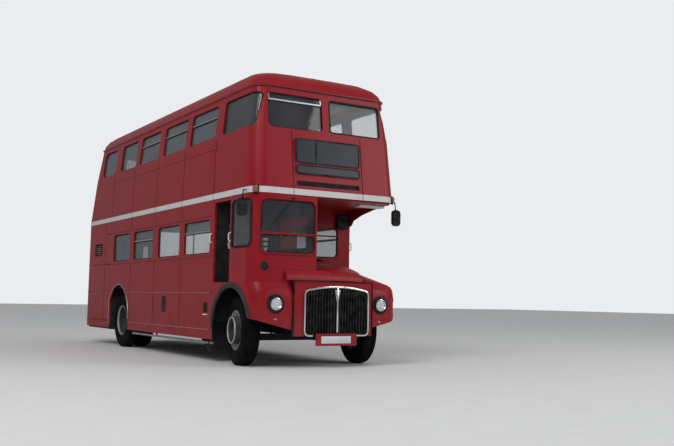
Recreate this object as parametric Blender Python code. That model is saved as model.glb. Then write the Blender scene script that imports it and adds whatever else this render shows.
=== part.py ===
"""Half-cab double decker bus with an open rear platform.

Metres, +Z up. The front faces -Y, the driver's side (offside) is -X and the kerb side (nearside) +X.
The origin is on the ground under the middle of the bus.
"""

import math

import bmesh
import bpy
from mathutils import Matrix, Vector

# Room between touching pieces, and room round moving ones
GAP = 0.0003
SWING_GAP = 0.006

# Ground plan
BODY_HALF = 1.211
FRONT_END = -4.19
REAR_END = 4.19
WHEELBASE = 5.131
FRONT_AXLE = -3.29
REAR_AXLE = FRONT_AXLE + WHEELBASE
CORNER = 0.22

# Heights above the ground. The floors and the nose follow the size of the wheels
WHEEL_RADIUS = 0.508
SKIRT = 0.346
PLATFORM_TOP = 0.36
WAIST = 1.048
FLOOR_TOP = WHEEL_RADIUS + 0.152
BAND_LOW = 2.455
BAND_HIGH = 2.542
UPPER_SILL = 3.384
GUTTER = 4.029
ROOF_TOP = 4.38
CAB_FLOOR_TOP = 2 * WHEEL_RADIUS + 0.154
WING_TOP = CAB_FLOOR_TOP + 0.03
# Pressed beads along the walls: the heights of their middles
LOWER_BEADS = (0.484, WAIST, 1.605, 2.22)
UPPER_BEAD = 3.25

# Sheet and slab thicknesses
WALL = 0.035
FLOOR = 0.04
DECK_LOW = 2.43
DECK_TOP = 2.54
SKIN = 0.02
GLASS = 0.008
BEAD = 0.008
ROOF_SKIN = 0.032
GUTTER_BEAD = 0.018

# The front of the body above the band, at the band, the upper sill and the gutter
CAB_FRONT = -4.021
SILL_FRONT = -3.914
GUTTER_FRONT = -3.836
# The rear of the body in the same places, and at the skirt
BAND_REAR = 4.16
SILL_REAR = 3.89
GUTTER_REAR = 3.72
# How far the sides lean in at the upper sill and at the gutter
SILL_TUCK = 0.026
GUTTER_TUCK = 0.095
SILL_HALF = BODY_HALF - SILL_TUCK
GUTTER_HALF = BODY_HALF - GUTTER_TUCK
# How far a cutter through a side wall reaches inside the gutter line, and outside the body
CUT_IN = 0.136
CUT_OUT = 0.109
# Half the depth of a cutter through a wall that stands at the full width
CUT_HALF = 0.2
# How far a cutter through the front starts ahead of it
CUT_AHEAD = 0.279

# Where the side walls are split, at a window pillar
FRONT_SPLIT = -2.62
UPPER_FRONT_SPLIT = -2.67
UPPER_REAR_SPLIT = 2.315
REAR_SPLIT = 2.47
REAR_WALL_EDGE = 0.42

# Windows: their rows, and the rounding of their corners
LOWER_ROW = (1.645, 2.165)
UPPER_ROW = (3.425, 3.935)
PANE_CORNER = 0.06
# Each row is a lower side window: its front and rear edge
LOWER_WINDOWS = ((-2.515, -1.465), (-1.245, -0.235), (0.035, 1.085), (1.31, 2.30))
# Each row is an upper side window: its front and rear edge
UPPER_WINDOWS = ((-2.545, -1.49), (-1.30, -0.24), (0.0, 1.02), (1.23, 2.16))
QUARTER_FRONT = (-3.835, -2.80)
QUARTER_REAR = (2.47, 3.36)
QUARTER_CORNER = 0.16
REAR_WINDOW = (-0.42, 0.16, 1.66, 2.14)
UPPER_FRONT_WINDOW = (0.055, GUTTER_HALF - 0.161)
# The vent in the panel beside the stairs: front, rear, low and high edge
STAIR_VENT = (3.11, 3.53, 1.81, 2.02)
# Windows of the front bulkhead: x low, x high, z low and z high
BULKHEAD_WINDOWS = (
    (0.22, BODY_HALF - 0.241, WING_TOP + 0.465, 2.12),
    (-BODY_HALF + 0.231, -0.28, WING_TOP + 0.50, 2.12),
)
EMERGENCY = (0.56, 3.43, 3.93)
EMERGENCY_DEPTH = 0.028
EMERGENCY_BORDER = 0.05
EMERGENCY_HINGE = (3.758, 3.945)
EMERGENCY_LUGS = (-0.30, 0.26)
PIN = 0.006
PIN_ROOM = 0.0005
LUG = 0.0095
LUG_WIDTH = 0.04

# Route display: half width of its frame and of its panes, the frame's heights, and the back of the panes
DISPLAY_HALF = 0.54
DISPLAY_PANE_HALF = 0.50
DISPLAY_FRAME = (2.76, 3.295)
DISPLAY_PANES = ((2.935, 3.26), (2.79, 2.90))
DISPLAY_BACK = -3.975
DISPLAY_PROUD = 0.012
# Vent slots under the display: their heights, their half length and half height
VENT_SLOTS = (2.605, 2.63, 2.655)
VENT_SLOT = (0.52, 0.008)

# Driver's cab
CAB_EDGE = -0.19
DOORWAY = (-3.255, -2.68, CAB_FLOOR_TOP, 2.40)
CAB_WINDOW = (-3.90, -3.32, WING_TOP + 0.50, 2.37)
CAB_WINDOW_CORNER = 0.08
WINDSCREEN = (-BODY_HALF + 0.126, CAB_EDGE - 0.035, WING_TOP + 0.415, 2.365)
WINDSCREEN_CORNER = 0.09
WINDSCREEN_BAR = (1.875, 1.90)
CAB_INNER_WINDOW = (-3.80, -2.95, WING_TOP + 0.52, 2.20)
# The sliding door: its outer face, thickness, way, and the border and heights of its pane
DOOR_FACE = -BODY_HALF + 0.071
DOOR_THICKNESS = 0.025
DOOR_TRAVEL = 0.59
DOOR_BORDER = 0.07
DOOR_PANE = (1.72, 2.33)
CAB_DOOR_LOW = CAB_FLOOR_TOP + 0.008
BULKHEAD = -2.63

# Nose
WING_INNER = -BODY_HALF + 0.611
WING_BULGE = 0.075
RADIATOR = (WING_INNER, BODY_HALF - 0.491, 0.45, WING_TOP + 0.035)
RADIATOR_FRONT = -4.10
MIRROR = (BODY_HALF + 0.099, -3.84)
MIRROR_HEIGHTS = (2.12, 2.37)
HEADLAMP = (BODY_HALF - 0.338, WING_TOP - 0.30, 0.092)
LAMP_FRONT = -4.122
GRILLE = (-BODY_HALF + 0.781, BODY_HALF - 0.556, 0.447, WING_TOP - 0.085)
GRILLE_FRONT = -4.125
GRILLE_SLATS = 22
SLAT_HALF = 0.006
SURROUND = 0.022
PLATE_BOX = (-0.26, 0.41, 0.317, 0.489)
PLATE_BOX_DEPTH = 0.035
BONNET_SIDE = 0.03
BONNET_HINGE = (BULKHEAD - 0.045, WING_TOP + 0.416)
BONNET_LUGS = (0.24, 0.62)

# Wheels
TYRE_WIDTH = 0.26
FRONT_TRACK_HALF = BODY_HALF - 0.236
TWIN_OUTER = BODY_HALF - 0.176
TWIN_INNER = TWIN_OUTER - 0.29
TWIN_WIDTH = 0.24
KINGPIN = FRONT_TRACK_HALF - 0.175
# The boss round a kingpin: its reach under and over the wheel's centre, and the leaves of the yoke round it
BOSS_UNDER = 0.158
BOSS_OVER = 0.092
YOKE_LEAF = 0.04
STUB_RADIUS = 0.045
REAR_STUB = 0.055
RUNNING = 0.0008
WHEEL_STEPS = 24
REST_STEER = math.radians(-8.0)
FRONT_ARCH = (FRONT_AXLE - 0.02, WHEEL_RADIUS - 0.008, WHEEL_RADIUS + 0.112)
REAR_ARCH = (REAR_AXLE + 0.079, WHEEL_RADIUS + 0.036, WHEEL_RADIUS + 0.138)

# Inside: wheel boxes (inner edge, reach in front of and behind the arch's middle, top)
WHEEL_BOX = (TWIN_INNER - 0.145, 0.68, 0.52, 2 * WHEEL_RADIUS + 0.124)
WHEEL_BOX_SHEET = 0.015
BEAMS = (-2.15, -1.35, -0.08, 1.10)
GUARDS = (-2.15, -0.08, 1.10)
GUARD = (BODY_HALF - 0.101, BODY_HALF - 0.076, 0.27, 0.305)
# The hole over the stairs: its offside edge, inner edge, front and rear
STAIRWELL = (-BODY_HALF + 0.111, -0.42, 2.42, 3.86)
STAIR_STEPS = 9
POLE = (BODY_HALF - 0.121, REAR_END - 0.37, 0.017)
# Rows of double seats: first front edge, pitch, number, outer end and width
LOWER_SEATS = (-2.05, 0.74, 4, BODY_HALF - 0.061, 0.85)
UPPER_SEATS = (-3.30, 0.70, 8, SILL_HALF - 0.065, 0.82)
STEERING_RADIUS = 0.22

SIDES = (("offside", -1), ("nearside", 1))

# Paints: base colour, roughness, metallic
PAINTS = {
    "red": ((0.42, 0.010, 0.018), 0.30, 0.0),
    "cream": ((0.78, 0.76, 0.72), 0.40, 0.0),
    "dark": ((0.03, 0.03, 0.035), 0.70, 0.0),
    "black": ((0.012, 0.012, 0.013), 0.55, 0.0),
    "rubber": ((0.020, 0.020, 0.021), 0.85, 0.0),
    "steel": ((0.45, 0.46, 0.47), 0.40, 0.9),
    "chrome": ((0.80, 0.80, 0.80), 0.12, 1.0),
    "glass": ((0.35, 0.42, 0.44), 0.05, 0.0),
    "cloth": ((0.20, 0.03, 0.03), 0.90, 0.0),
    "wood": ((0.25, 0.14, 0.07), 0.60, 0.0),
    "orange": ((0.85, 0.20, 0.02), 0.30, 0.0),
}


def clear_scene():
    for obj in list(bpy.data.objects):
        bpy.data.objects.remove(obj, do_unlink=True)


def paint(key):
    made = bpy.data.materials.get(key)
    if made:
        return made
    colour, roughness, metallic = PAINTS[key]
    made = bpy.data.materials.new(key)
    made.use_nodes = True
    shader = made.node_tree.nodes["Principled BSDF"]
    shader.inputs["Base Color"].default_value = (*colour, 1.0)
    shader.inputs["Roughness"].default_value = roughness
    shader.inputs["Metallic"].default_value = metallic
    return made


class Form:
    """Closed shells gathered into one mesh, in world metres, each with the number of its paint."""

    def __init__(self):
        self.points = []
        self.faces = []
        self.paints = []

    def add(self, points, faces, number=0):
        first = len(self.points)
        self.points += [Vector(point) for point in points]
        self.faces += [[first + index for index in face] for face in faces]
        self.paints += [number] * len(faces)
        return self

    def box(self, low, high, number=0):
        corners = [(x, y, z) for x in (low[0], high[0]) for y in (low[1], high[1]) for z in (low[2], high[2])]
        faces = [(0, 1, 3, 2), (4, 6, 7, 5), (0, 4, 5, 1), (2, 3, 7, 6), (0, 2, 6, 4), (1, 5, 7, 3)]
        return self.add(corners, faces, number)

    def prism(self, outline, axis, low, high, number=0):
        """Extrude an outline along an axis. The outline holds the two other coordinates in x, y, z order."""
        place = {
            "x": lambda a, b, c: (c, a, b), "y": lambda a, b, c: (a, c, b), "z": lambda a, b, c: (a, b, c)
        }
        points = [place[axis](a, b, end) for end in (low, high) for a, b in outline]
        count = len(outline)
        faces = [[i, (i + 1) % count, count + (i + 1) % count, count + i] for i in range(count)]
        return self.add(points, faces + [list(range(count)), list(range(count, 2 * count))], number)

    def rings(self, rings, number=0):
        """Join closed rings of equal counts, and close the first and the last."""
        count = len(rings[0])
        points = [point for ring in rings for point in ring]
        faces = [
            [
                r * count + i,
                r * count + (i + 1) % count,
                (r + 1) * count + (i + 1) % count,
                (r + 1) * count + i,
            ]
            for r in range(len(rings) - 1)
            for i in range(count)
        ]
        last = (len(rings) - 1) * count
        return self.add(points, faces + [list(range(count)), list(range(last, last + count))], number)

    def tube(self, start, end, radius, sides=12, number=0):
        start, end = Vector(start), Vector(end)
        turn = (end - start).to_track_quat("Z", "Y").to_matrix()
        rim = [turn @ Vector((radius * math.cos(a), radius * math.sin(a), 0)) for a in round_angles(sides)]
        return self.rings([[end_point + offset for offset in rim] for end_point in (start, end)], number)

    def lathe(self, profile, origin, steps, number=0):
        """Turn a closed profile of (distance along X, radius) round an axle that runs along X."""
        points = []
        for angle in [angle + math.pi / steps for angle in round_angles(steps)]:
            for along, radius in profile:
                points.append(
                    (
                        origin[0] + along,
                        origin[1] + radius * math.cos(angle),
                        origin[2] + radius * math.sin(angle),
                    )
                )
        count = len(profile)
        faces = []
        for step in range(steps):
            for i in range(count):
                after = (i + 1) % count
                here, there = step * count, (step + 1) % steps * count
                faces.append([here + i, here + after, there + after, there + i])
        return self.add(points, faces, number)

    def skin(self, outer, inner, number=0):
        """A sheet between two grids of points with equal rows and columns."""
        rows, columns = len(outer), len(outer[0])
        points = [point for row in outer for point in row] + [point for row in inner for point in row]
        back = rows * columns
        faces = []
        for r in range(rows - 1):
            for c in range(columns - 1):
                a, b = r * columns + c, (r + 1) * columns + c
                faces.append([a, a + 1, b + 1, b])
                faces.append([back + a, back + b, back + b + 1, back + a + 1])
        edge = [(0, c) for c in range(columns)] + [(r, columns - 1) for r in range(1, rows)]
        edge += [(rows - 1, c) for c in range(columns - 2, -1, -1)] + [(r, 0) for r in range(rows - 2, 0, -1)]
        for i, (r, c) in enumerate(edge):
            r2, c2 = edge[(i + 1) % len(edge)]
            a, b = r * columns + c, r2 * columns + c2
            faces.append([a, back + a, back + b, b])
        return self.add(points, faces, number)

    def turned(self, pivot, matrix):
        self.points = [Vector(pivot) + matrix @ (point - Vector(pivot)) for point in self.points]
        return self


def round_angles(count):
    return [2 * math.pi * i / count for i in range(count)]


def mirror_x(points):
    return [(-x, y, z) for x, y, z in points]


def rounded(low, high, radius):
    """The outline of a rectangle with round corners, anticlockwise."""
    steps = 2 if radius < 0.1 else 4
    centres = (
        (high[0] - radius, low[1] + radius, -90),
        (high[0] - radius, high[1] - radius, 0),
        (low[0] + radius, high[1] - radius, 90),
        (low[0] + radius, low[1] + radius, 180),
    )
    return [
        (
            a + radius * math.cos(math.radians(start + 90 * i / steps)),
            b + radius * math.sin(math.radians(start + 90 * i / steps)),
        )
        for a, b, start in centres
        for i in range(steps + 1)
    ]


def mesh_object(name, form, origin=(0, 0, 0)):
    mesh = bpy.data.meshes.new(name)
    origin = Vector(origin)
    mesh.from_pydata([point - origin for point in form.points], [], form.faces)
    for polygon, number in zip(mesh.polygons, form.paints):
        polygon.material_index = number
    bm = bmesh.new()
    bm.from_mesh(mesh)
    bmesh.ops.recalc_face_normals(bm, faces=bm.faces)
    bm.to_mesh(mesh)
    bm.free()
    obj = bpy.data.objects.new(name, mesh)
    obj.location = origin
    bpy.context.scene.collection.objects.link(obj)
    return obj


def piece(name, form, *keys, origin=(0, 0, 0), smooth=False):
    """One named piece of the bus, with its paints."""
    obj = mesh_object(name, form, origin)
    for key in keys:
        obj.data.materials.append(paint(key))
    if smooth:
        obj.data.shade_smooth()
        obj.data.set_sharp_from_angle(angle=math.radians(35))
    return obj


def boolean(obj, form, operation):
    helper = mesh_object(f"{obj.name}_{operation.lower()}_{len(obj.modifiers)}", form)
    helper.hide_render = True
    helper.display_type = "WIRE"
    made = obj.modifiers.new(operation.title(), "BOOLEAN")
    made.operation = operation
    made.solver = "EXACT"
    made.use_self = True
    made.object = helper
    return obj


def cut(obj, form):
    return boolean(obj, form, "DIFFERENCE")


def join(obj, form):
    return boolean(obj, form, "UNION")


def keep(obj, form):
    return boolean(obj, form, "INTERSECT")


def between(z, low, high):
    """Values of two rows (height, ...) at a height between them."""
    share = (z - low[0]) / (high[0] - low[0])
    return [a + share * (b - a) for a, b in zip(low[1:], high[1:])]


def body_at(z):
    """Half width, front and rear of the outside at a height."""
    # Each row is a height, then the half width, the front and the rear there
    rows = (
        (SKIRT, BODY_HALF, CAB_FRONT, REAR_END - BEAD),
        (WAIST, BODY_HALF, CAB_FRONT, REAR_END - BEAD),
        (BAND_HIGH, BODY_HALF, CAB_FRONT, BAND_REAR),
        (UPPER_SILL, SILL_HALF, SILL_FRONT, SILL_REAR),
        (GUTTER, GUTTER_HALF, GUTTER_FRONT, GUTTER_REAR),
    )
    for low, high in zip(rows, rows[1:]):
        if z <= high[0] + GAP:
            return between(z, low, high)
    return list(rows[-1][1:])


def corner_arc(x, y, radius, start, steps=5):
    return [
        (
            x + radius * math.cos(math.radians(start + 90 * i / steps)),
            y + radius * math.sin(math.radians(start + 90 * i / steps)),
        )
        for i in range(steps + 1)
    ]


def front_plan(z, inset, split):
    """The line round the front seen from above, from the offside split to the nearside split."""
    half, front, _ = body_at(z)
    inner = CORNER - inset
    left = corner_arc(-half + CORNER, front + CORNER, inner, 180)
    right = corner_arc(half - CORNER, front + CORNER, inner, 270)
    return [(-half + inset, split)] + left + right + [(half - inset, split)]


def rear_plan(z, inset, split):
    """The line round the rear seen from above, from the nearside split to the offside split."""
    half, _, rear = body_at(z)
    inner = CORNER - inset
    right = corner_arc(half - CORNER, rear - CORNER, inner, 0)
    left = corner_arc(-half + CORNER, rear - CORNER, inner, 90)
    return [(half - inset, split)] + right + left + [(-half + inset, split)]


def side_plan(z, inset, side, start, end):
    half = body_at(z)[0]
    return [(side * (half - inset), start), (side * (half - inset), end)]


def lower_rear_plan(z, inset):
    """The lower rear wall: from the offside split round the corner to the edge of the platform."""
    half, _, rear = body_at(z)
    left = corner_arc(-half + CORNER, rear - CORNER, CORNER - inset, 90)
    return [(REAR_WALL_EDGE, rear - inset)] + left + [(-half + inset, REAR_SPLIT)]


def cab_plan(z, inset, bulge=0.0):
    """The cab: from behind its doorway round the offside front corner to the middle of the nose."""
    front = CAB_FRONT - bulge
    left = corner_arc(-BODY_HALF + CORNER, front + CORNER, CORNER - inset, 180)
    return [(-BODY_HALF + inset, FRONT_SPLIT - GAP)] + left


def levels(low, high, beads, inner_bends=()):
    """Heights of a wall with how far it stands proud there. Each bead is a height of its middle."""
    rows = [(low, 0.0), (high, 0.0)] + [(z, 0.0) for z in inner_bends]
    for z in beads:
        rows += [(z - 0.012, 0.0), (z - 0.006, BEAD), (z + 0.006, BEAD), (z + 0.012, 0.0)]
    return sorted(rows)


def wall(plan, rows, thickness=WALL, start=0.0):
    """A standing wall along a plan line, between its outside and its inside."""
    outer = [[(x, y, z) for x, y in plan(z, start - proud)] for z, proud in rows]
    inner = [[(x, y, z) for x, y in plan(z, start + thickness)] for z, _ in rows]
    return Form().skin(outer, inner)


def side_openings(side, windows, row, grow=0.0, corner=PANE_CORNER, form=None):
    """Cutters for a row of side windows. Each window is its front and rear edge."""
    form = form or Form()
    low, high = sorted((side * (GUTTER_HALF - CUT_IN), side * (BODY_HALF + CUT_OUT)))
    for start, end in windows:
        outline = rounded((start - grow, row[0] - grow), (end + grow, row[1] + grow), corner)
        form.prism(outline, "x", low, high)
    return form


def cross_openings(windows, y_low, y_high, grow=0.0, corner=PANE_CORNER):
    """Cutters for windows in a wall across the bus. Each row is x low, x high, z low and z high."""
    form = Form()
    for x0, x1, z0, z1 in windows:
        form.prism(rounded((x0 - grow, z0 - grow), (x1 + grow, z1 + grow), corner), "y", y_low, y_high)
    return form


def disc(y, z, radius, x_low, x_high, steps=32):
    outline = [(y + radius * math.cos(a), z + radius * math.sin(a)) for a in round_angles(steps)]
    return Form().prism(outline, "x", x_low, x_high)


def through_side(side):
    """Reach in X of a cutter through a wall at the full width."""
    return sorted((side * (BODY_HALF - CUT_HALF), side * (BODY_HALF + CUT_HALF)))


def lower_sides():
    for name, side in SIDES:
        rows = levels(SKIRT, BAND_LOW - GAP, LOWER_BEADS)
        obj = piece(
            f"lower_side_{name}",
            wall(lambda z, i: side_plan(z, i, side, FRONT_SPLIT, REAR_SPLIT - GAP), rows),
            "red",
        )
        cut(obj, side_openings(side, LOWER_WINDOWS, LOWER_ROW))
        cut(obj, disc(*REAR_ARCH, *through_side(side)))
        # Nothing of the panel is left behind the foot of the arch
        x0, x1 = through_side(side)
        cut(obj, Form().box((x0, REAR_ARCH[0], SKIRT - 0.1), (x1, REAR_SPLIT + 0.1, REAR_ARCH[1])))


def lower_rear():
    rows = levels(SKIRT, BAND_LOW - GAP, LOWER_BEADS[:3])
    obj = piece("lower_rear", wall(lower_rear_plan, rows), "red")
    cut(obj, cross_openings([REAR_WINDOW], REAR_END - 0.29, REAR_END + 0.31))
    cut(obj, side_openings(-1, [STAIR_VENT[:2]], STAIR_VENT[2:], corner=0.02))


def upper_sides():
    rows = levels(BAND_LOW, GUTTER - GAP, (UPPER_BEAD,), (BAND_HIGH, UPPER_SILL))
    for name, side in SIDES:
        plan = lambda z, i: side_plan(z, i, side, UPPER_FRONT_SPLIT + GAP, UPPER_REAR_SPLIT - GAP)
        obj = piece(f"upper_side_{name}", wall(plan, rows), "red")
        cut(obj, side_openings(side, UPPER_WINDOWS, UPPER_ROW))


def front_windows():
    near, far = UPPER_FRONT_WINDOW
    return [(near, far, *UPPER_ROW), (-far, -near, *UPPER_ROW)]


def upper_front():
    rows = levels(BAND_LOW, GUTTER - GAP, (), (BAND_HIGH, UPPER_SILL))
    obj = piece("upper_front", wall(lambda z, i: front_plan(z, i, UPPER_FRONT_SPLIT), rows), "red")
    for side in (-1, 1):
        cut(obj, side_openings(side, [QUARTER_FRONT], UPPER_ROW))
    cut(obj, cross_openings(front_windows(), CAB_FRONT - CUT_AHEAD, CAB_FRONT + 0.421))
    join(obj, display_box())
    panes = Form()
    for low, high in DISPLAY_PANES:
        panes.box(
            (-DISPLAY_PANE_HALF, CAB_FRONT - CUT_AHEAD, low), (DISPLAY_PANE_HALF, DISPLAY_BACK, high)
        )
    cut(obj, panes)
    slots = Form()
    half, rise = VENT_SLOT
    for z in VENT_SLOTS:
        slots.box((-half, CAB_FRONT - CUT_AHEAD, z - rise), (half, CAB_FRONT + 0.521, z + rise))
    cut(obj, slots)


def display_box():
    """The raised frame of the blank route display."""
    low, high = DISPLAY_FRAME
    under, over = body_at(low)[1], body_at(high)[1]
    outline = (
        (under + 0.02, low), (under - DISPLAY_PROUD, low), (over - DISPLAY_PROUD, high), (over + 0.02, high)
    )
    form = Form().prism(outline, "x", -DISPLAY_HALF, DISPLAY_HALF)
    return form.box(
        (-DISPLAY_HALF + 0.01, DISPLAY_BACK + GAP, low + 0.01),
        (DISPLAY_HALF - 0.01, DISPLAY_BACK + 0.075, high - 0.01),
    )


def upper_rear():
    rows = levels(BAND_LOW, GUTTER - GAP, (), (BAND_HIGH, UPPER_SILL))
    obj = piece("upper_rear", wall(lambda z, i: rear_plan(z, i, UPPER_REAR_SPLIT), rows), "red")
    for side in (-1, 1):
        cut(obj, side_openings(side, [QUARTER_REAR], UPPER_ROW, corner=QUARTER_CORNER))
    half, low, high = EMERGENCY
    cut(obj, cross_openings([(-half, half, low, high)], 3.5, 4.1))
    # The bar that the emergency window closes on, and the brackets of its hinge
    plan = lambda z, i: [(-half + 0.06, body_at(z)[2] - i), (half - 0.06, body_at(z)[2] - i)]
    join(
        obj,
        wall(
            plan,
            [(low - 0.012, 0), (low + 0.025, 0)],
            WALL - EMERGENCY_DEPTH - 2 * GAP,
            EMERGENCY_DEPTH + GAP,
        ),
    )
    y, z = EMERGENCY_HINGE
    join(
        obj, hinge_brackets(EMERGENCY_LUGS, EMERGENCY_HINGE, ((y - 0.023, z + 0.011), (y - 0.023, z - 0.009)))
    )
    cut(obj, hinge_pins(EMERGENCY_LUGS, EMERGENCY_HINGE, PIN + PIN_ROOM, 0.01))


def hull(points):
    """The convex outline round points in a plane, anticlockwise."""

    def half(points):
        line = []
        for x, y in points:
            while len(line) > 1:
                (x0, y0), (x1, y1) = line[-2:]
                if (x1 - x0) * (y - y0) > (y1 - y0) * (x - x0):
                    break
                line.pop()
            line.append((x, y))
        return line[:-1]

    points = sorted(set(points))
    return half(points) + half(points[::-1])


def hinge_leaves(starts, width, pivot, foot):
    """Leaves of a hinge: each is round at the pin and runs to its foot, two corners in y and z."""
    ring = [(pivot[0] + LUG * math.cos(a), pivot[1] + LUG * math.sin(a)) for a in round_angles(8)]
    form = Form()
    for x in starts:
        form.prism(hull(ring + list(foot)), "x", x, x + width)
    return form


def hinge_brackets(lugs, pivot, foot):
    """A bracket on each side of each lug."""
    width = LUG_WIDTH / 2
    starts = [x - width - SWING_GAP for x in lugs] + [x + LUG_WIDTH + SWING_GAP for x in lugs]
    return hinge_leaves(starts, width, pivot, foot)


def hinge_pins(lugs, pivot, radius, more=0.0):
    reach = LUG_WIDTH / 2 + SWING_GAP + more
    form = Form()
    for x in lugs:
        form.tube((x - reach, *pivot), (x + LUG_WIDTH + reach, *pivot), radius, 12)
    return form


def emergency_window():
    """The rear upper window, hinged at its top edge to swing outwards."""
    half, low, high = EMERGENCY
    low, high, half = low + SWING_GAP, high - SWING_GAP, half - SWING_GAP
    plan = lambda z, i: [(-half, body_at(z)[2] - i), (half, body_at(z)[2] - i)]
    form = wall(plan, [(low, 0), (high, 0)], EMERGENCY_DEPTH)
    obj = piece("emergency_window", form, "red", "glass", origin=(0, *EMERGENCY_HINGE))
    keep(obj, cross_openings([(-half, half, low, high)], 3.5, 4.2))
    border = EMERGENCY_BORDER
    pocket = lambda start, end: Form().skin(
        [
            [(-half + border, body_at(z)[2] - start, z), (half - border, body_at(z)[2] - start, z)]
            for z in (low + border, high - border)
        ],
        [
            [(-half + border, body_at(z)[2] - end, z), (half - border, body_at(z)[2] - end, z)]
            for z in (low + border, high - border)
        ],
        1,
    )
    cut(obj, pocket(-0.05, 0.010))
    cut(obj, pocket(0.018, 0.08))
    y, z = EMERGENCY_HINGE
    lugs = hinge_leaves(
        EMERGENCY_LUGS, LUG_WIDTH, EMERGENCY_HINGE, ((y - 0.008, z - 0.05), (y + 0.004, z - 0.05))
    )
    join(obj, lugs)
    join(obj, hinge_pins(EMERGENCY_LUGS, EMERGENCY_HINGE, PIN))


def roof():
    """The domed roof, with its gutter bead."""
    # Each row is how far the dome has come in from the gutter, and its share of the rise
    dome = ((0.02, 0.285), (0.07, 0.513), (0.16, 0.712), (0.30, 0.869), (0.52, 0.963), (0.85, 1.0))
    rise = ROOF_TOP - GUTTER
    outer = [
        dome_ring(inset, GUTTER + up) for inset, up in ((-GUTTER_BEAD, 0), (-GUTTER_BEAD, 0.018), (0, 0.022))
    ]
    outer += [dome_ring(inset, GUTTER + share * rise) for inset, share in dome]
    inner = [dome_ring(WALL, GUTTER)]
    inner += [dome_ring(inset + WALL, GUTTER + share * (rise - ROOF_SKIN)) for inset, share in dome]
    count = len(outer[0])
    form = Form()
    points = [point for ring in outer + inner for point in ring]
    faces = []
    for first, rows in ((0, len(outer)), (len(outer), len(inner))):
        for r in range(first, first + rows - 1):
            for i in range(count):
                j = (i + 1) % count
                faces.append([r * count + i, r * count + j, (r + 1) * count + j, (r + 1) * count + i])
        faces.append([(first + rows - 1) * count + i for i in range(count)])
    for i in range(count):
        j = (i + 1) % count
        faces.append([i, j, len(outer) * count + j, len(outer) * count + i])
    form.add(points, faces)
    piece("roof", form, "red", smooth=True)


def dome_ring(inset, z):
    half = GUTTER_HALF - inset
    front = GUTTER_FRONT + 1.25 * inset
    rear = GUTTER_REAR - 1.1 * inset
    radius = min(CORNER + 0.7 * max(inset, 0), 0.97 * half)
    ring = corner_arc(half - radius, rear - radius, radius, 0)
    ring += corner_arc(-half + radius, rear - radius, radius, 90)
    ring += corner_arc(-half + radius, front + radius, radius, 180)
    ring += corner_arc(half - radius, front + radius, radius, 270)
    return [(x, y, z) for x, y in ring]


def band():
    """The cream band round the body between the decks, open at the back of the platform side."""
    form = Form()
    rows = ((BAND_LOW + GAP, 0), (BAND_HIGH, 0))
    plan = lambda z, i: (
        [(-body_at(z)[0] + i, 3.9)] + front_plan(z, i, 3.9)[1:-1] + [(body_at(z)[0] - i, 3.9)]
    )
    outer = [[(x, y, z) for x, y in plan(z, -BEAD)] for z, _ in rows]
    inner = [[(x, y, z) for x, y in plan(z, -GAP)] for z, _ in rows]
    piece("band", form.skin(outer, inner), "cream")


def decks():
    lower = Form().box(
        (-BODY_HALF + WALL + GAP, BULKHEAD, FLOOR_TOP - FLOOR),
        (BODY_HALF - WALL - GAP, REAR_SPLIT, FLOOR_TOP),
    )
    obj = piece("lower_floor", lower, "wood", "steel")
    outer = BODY_HALF - WALL - GAP
    inner, before, behind, top = WHEEL_BOX
    sheet = WHEEL_BOX_SHEET
    boxes, wells = Form(), Form()
    for side in (-1, 1):
        x0, x1 = sorted((side * inner, side * outer))
        boxes.box((x0, REAR_ARCH[0] - before, FLOOR_TOP - 0.03), (x1, REAR_ARCH[0] + behind, top))
        x0, x1 = sorted((side * (inner + sheet), side * (outer + 0.1)))
        wells.box(
            (x0, REAR_ARCH[0] - before + sheet, 0.3), (x1, REAR_ARCH[0] + behind - sheet, top - sheet)
        )
    join(obj, boxes)
    half = BODY_HALF - WALL - GAP
    step = Form().box(
        (-half, REAR_SPLIT - 0.02, PLATFORM_TOP - 0.05), (half, REAR_SPLIT + 0.01, FLOOR_TOP - 0.01)
    )
    rear = REAR_END - 0.045
    deck = [(-half, REAR_SPLIT), (half, REAR_SPLIT)]
    deck += corner_arc(half - CORNER, rear - CORNER, CORNER, 0) + corner_arc(
        -half + CORNER, rear - CORNER, CORNER, 90
    )
    step.prism(deck, "z", PLATFORM_TOP - 0.045, PLATFORM_TOP)
    join(obj, step)
    cut(obj, wells)
    beams = Form()
    reach, under = BODY_HALF - 0.061, FLOOR_TOP - FLOOR
    for y in BEAMS:
        beams.box((-reach, y - 0.03, under - 0.07), (reach, y + 0.03, under + 0.01))
    join(obj, beams)
    guards = Form()
    inside, outside, low, high = GUARD
    for side in (-1, 1):
        x0, x1 = sorted((side * inside, side * outside))
        guards.box((x0, GUARDS[0] - 0.40, low), (x1, GUARDS[-1] + 0.12, high), 1)
        for y in GUARDS:
            guards.box((x0 + 0.002, y - 0.02, low + 0.01), (x1 - 0.002, y + 0.02, under - 0.05), 1)
    join(obj, guards)


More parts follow.
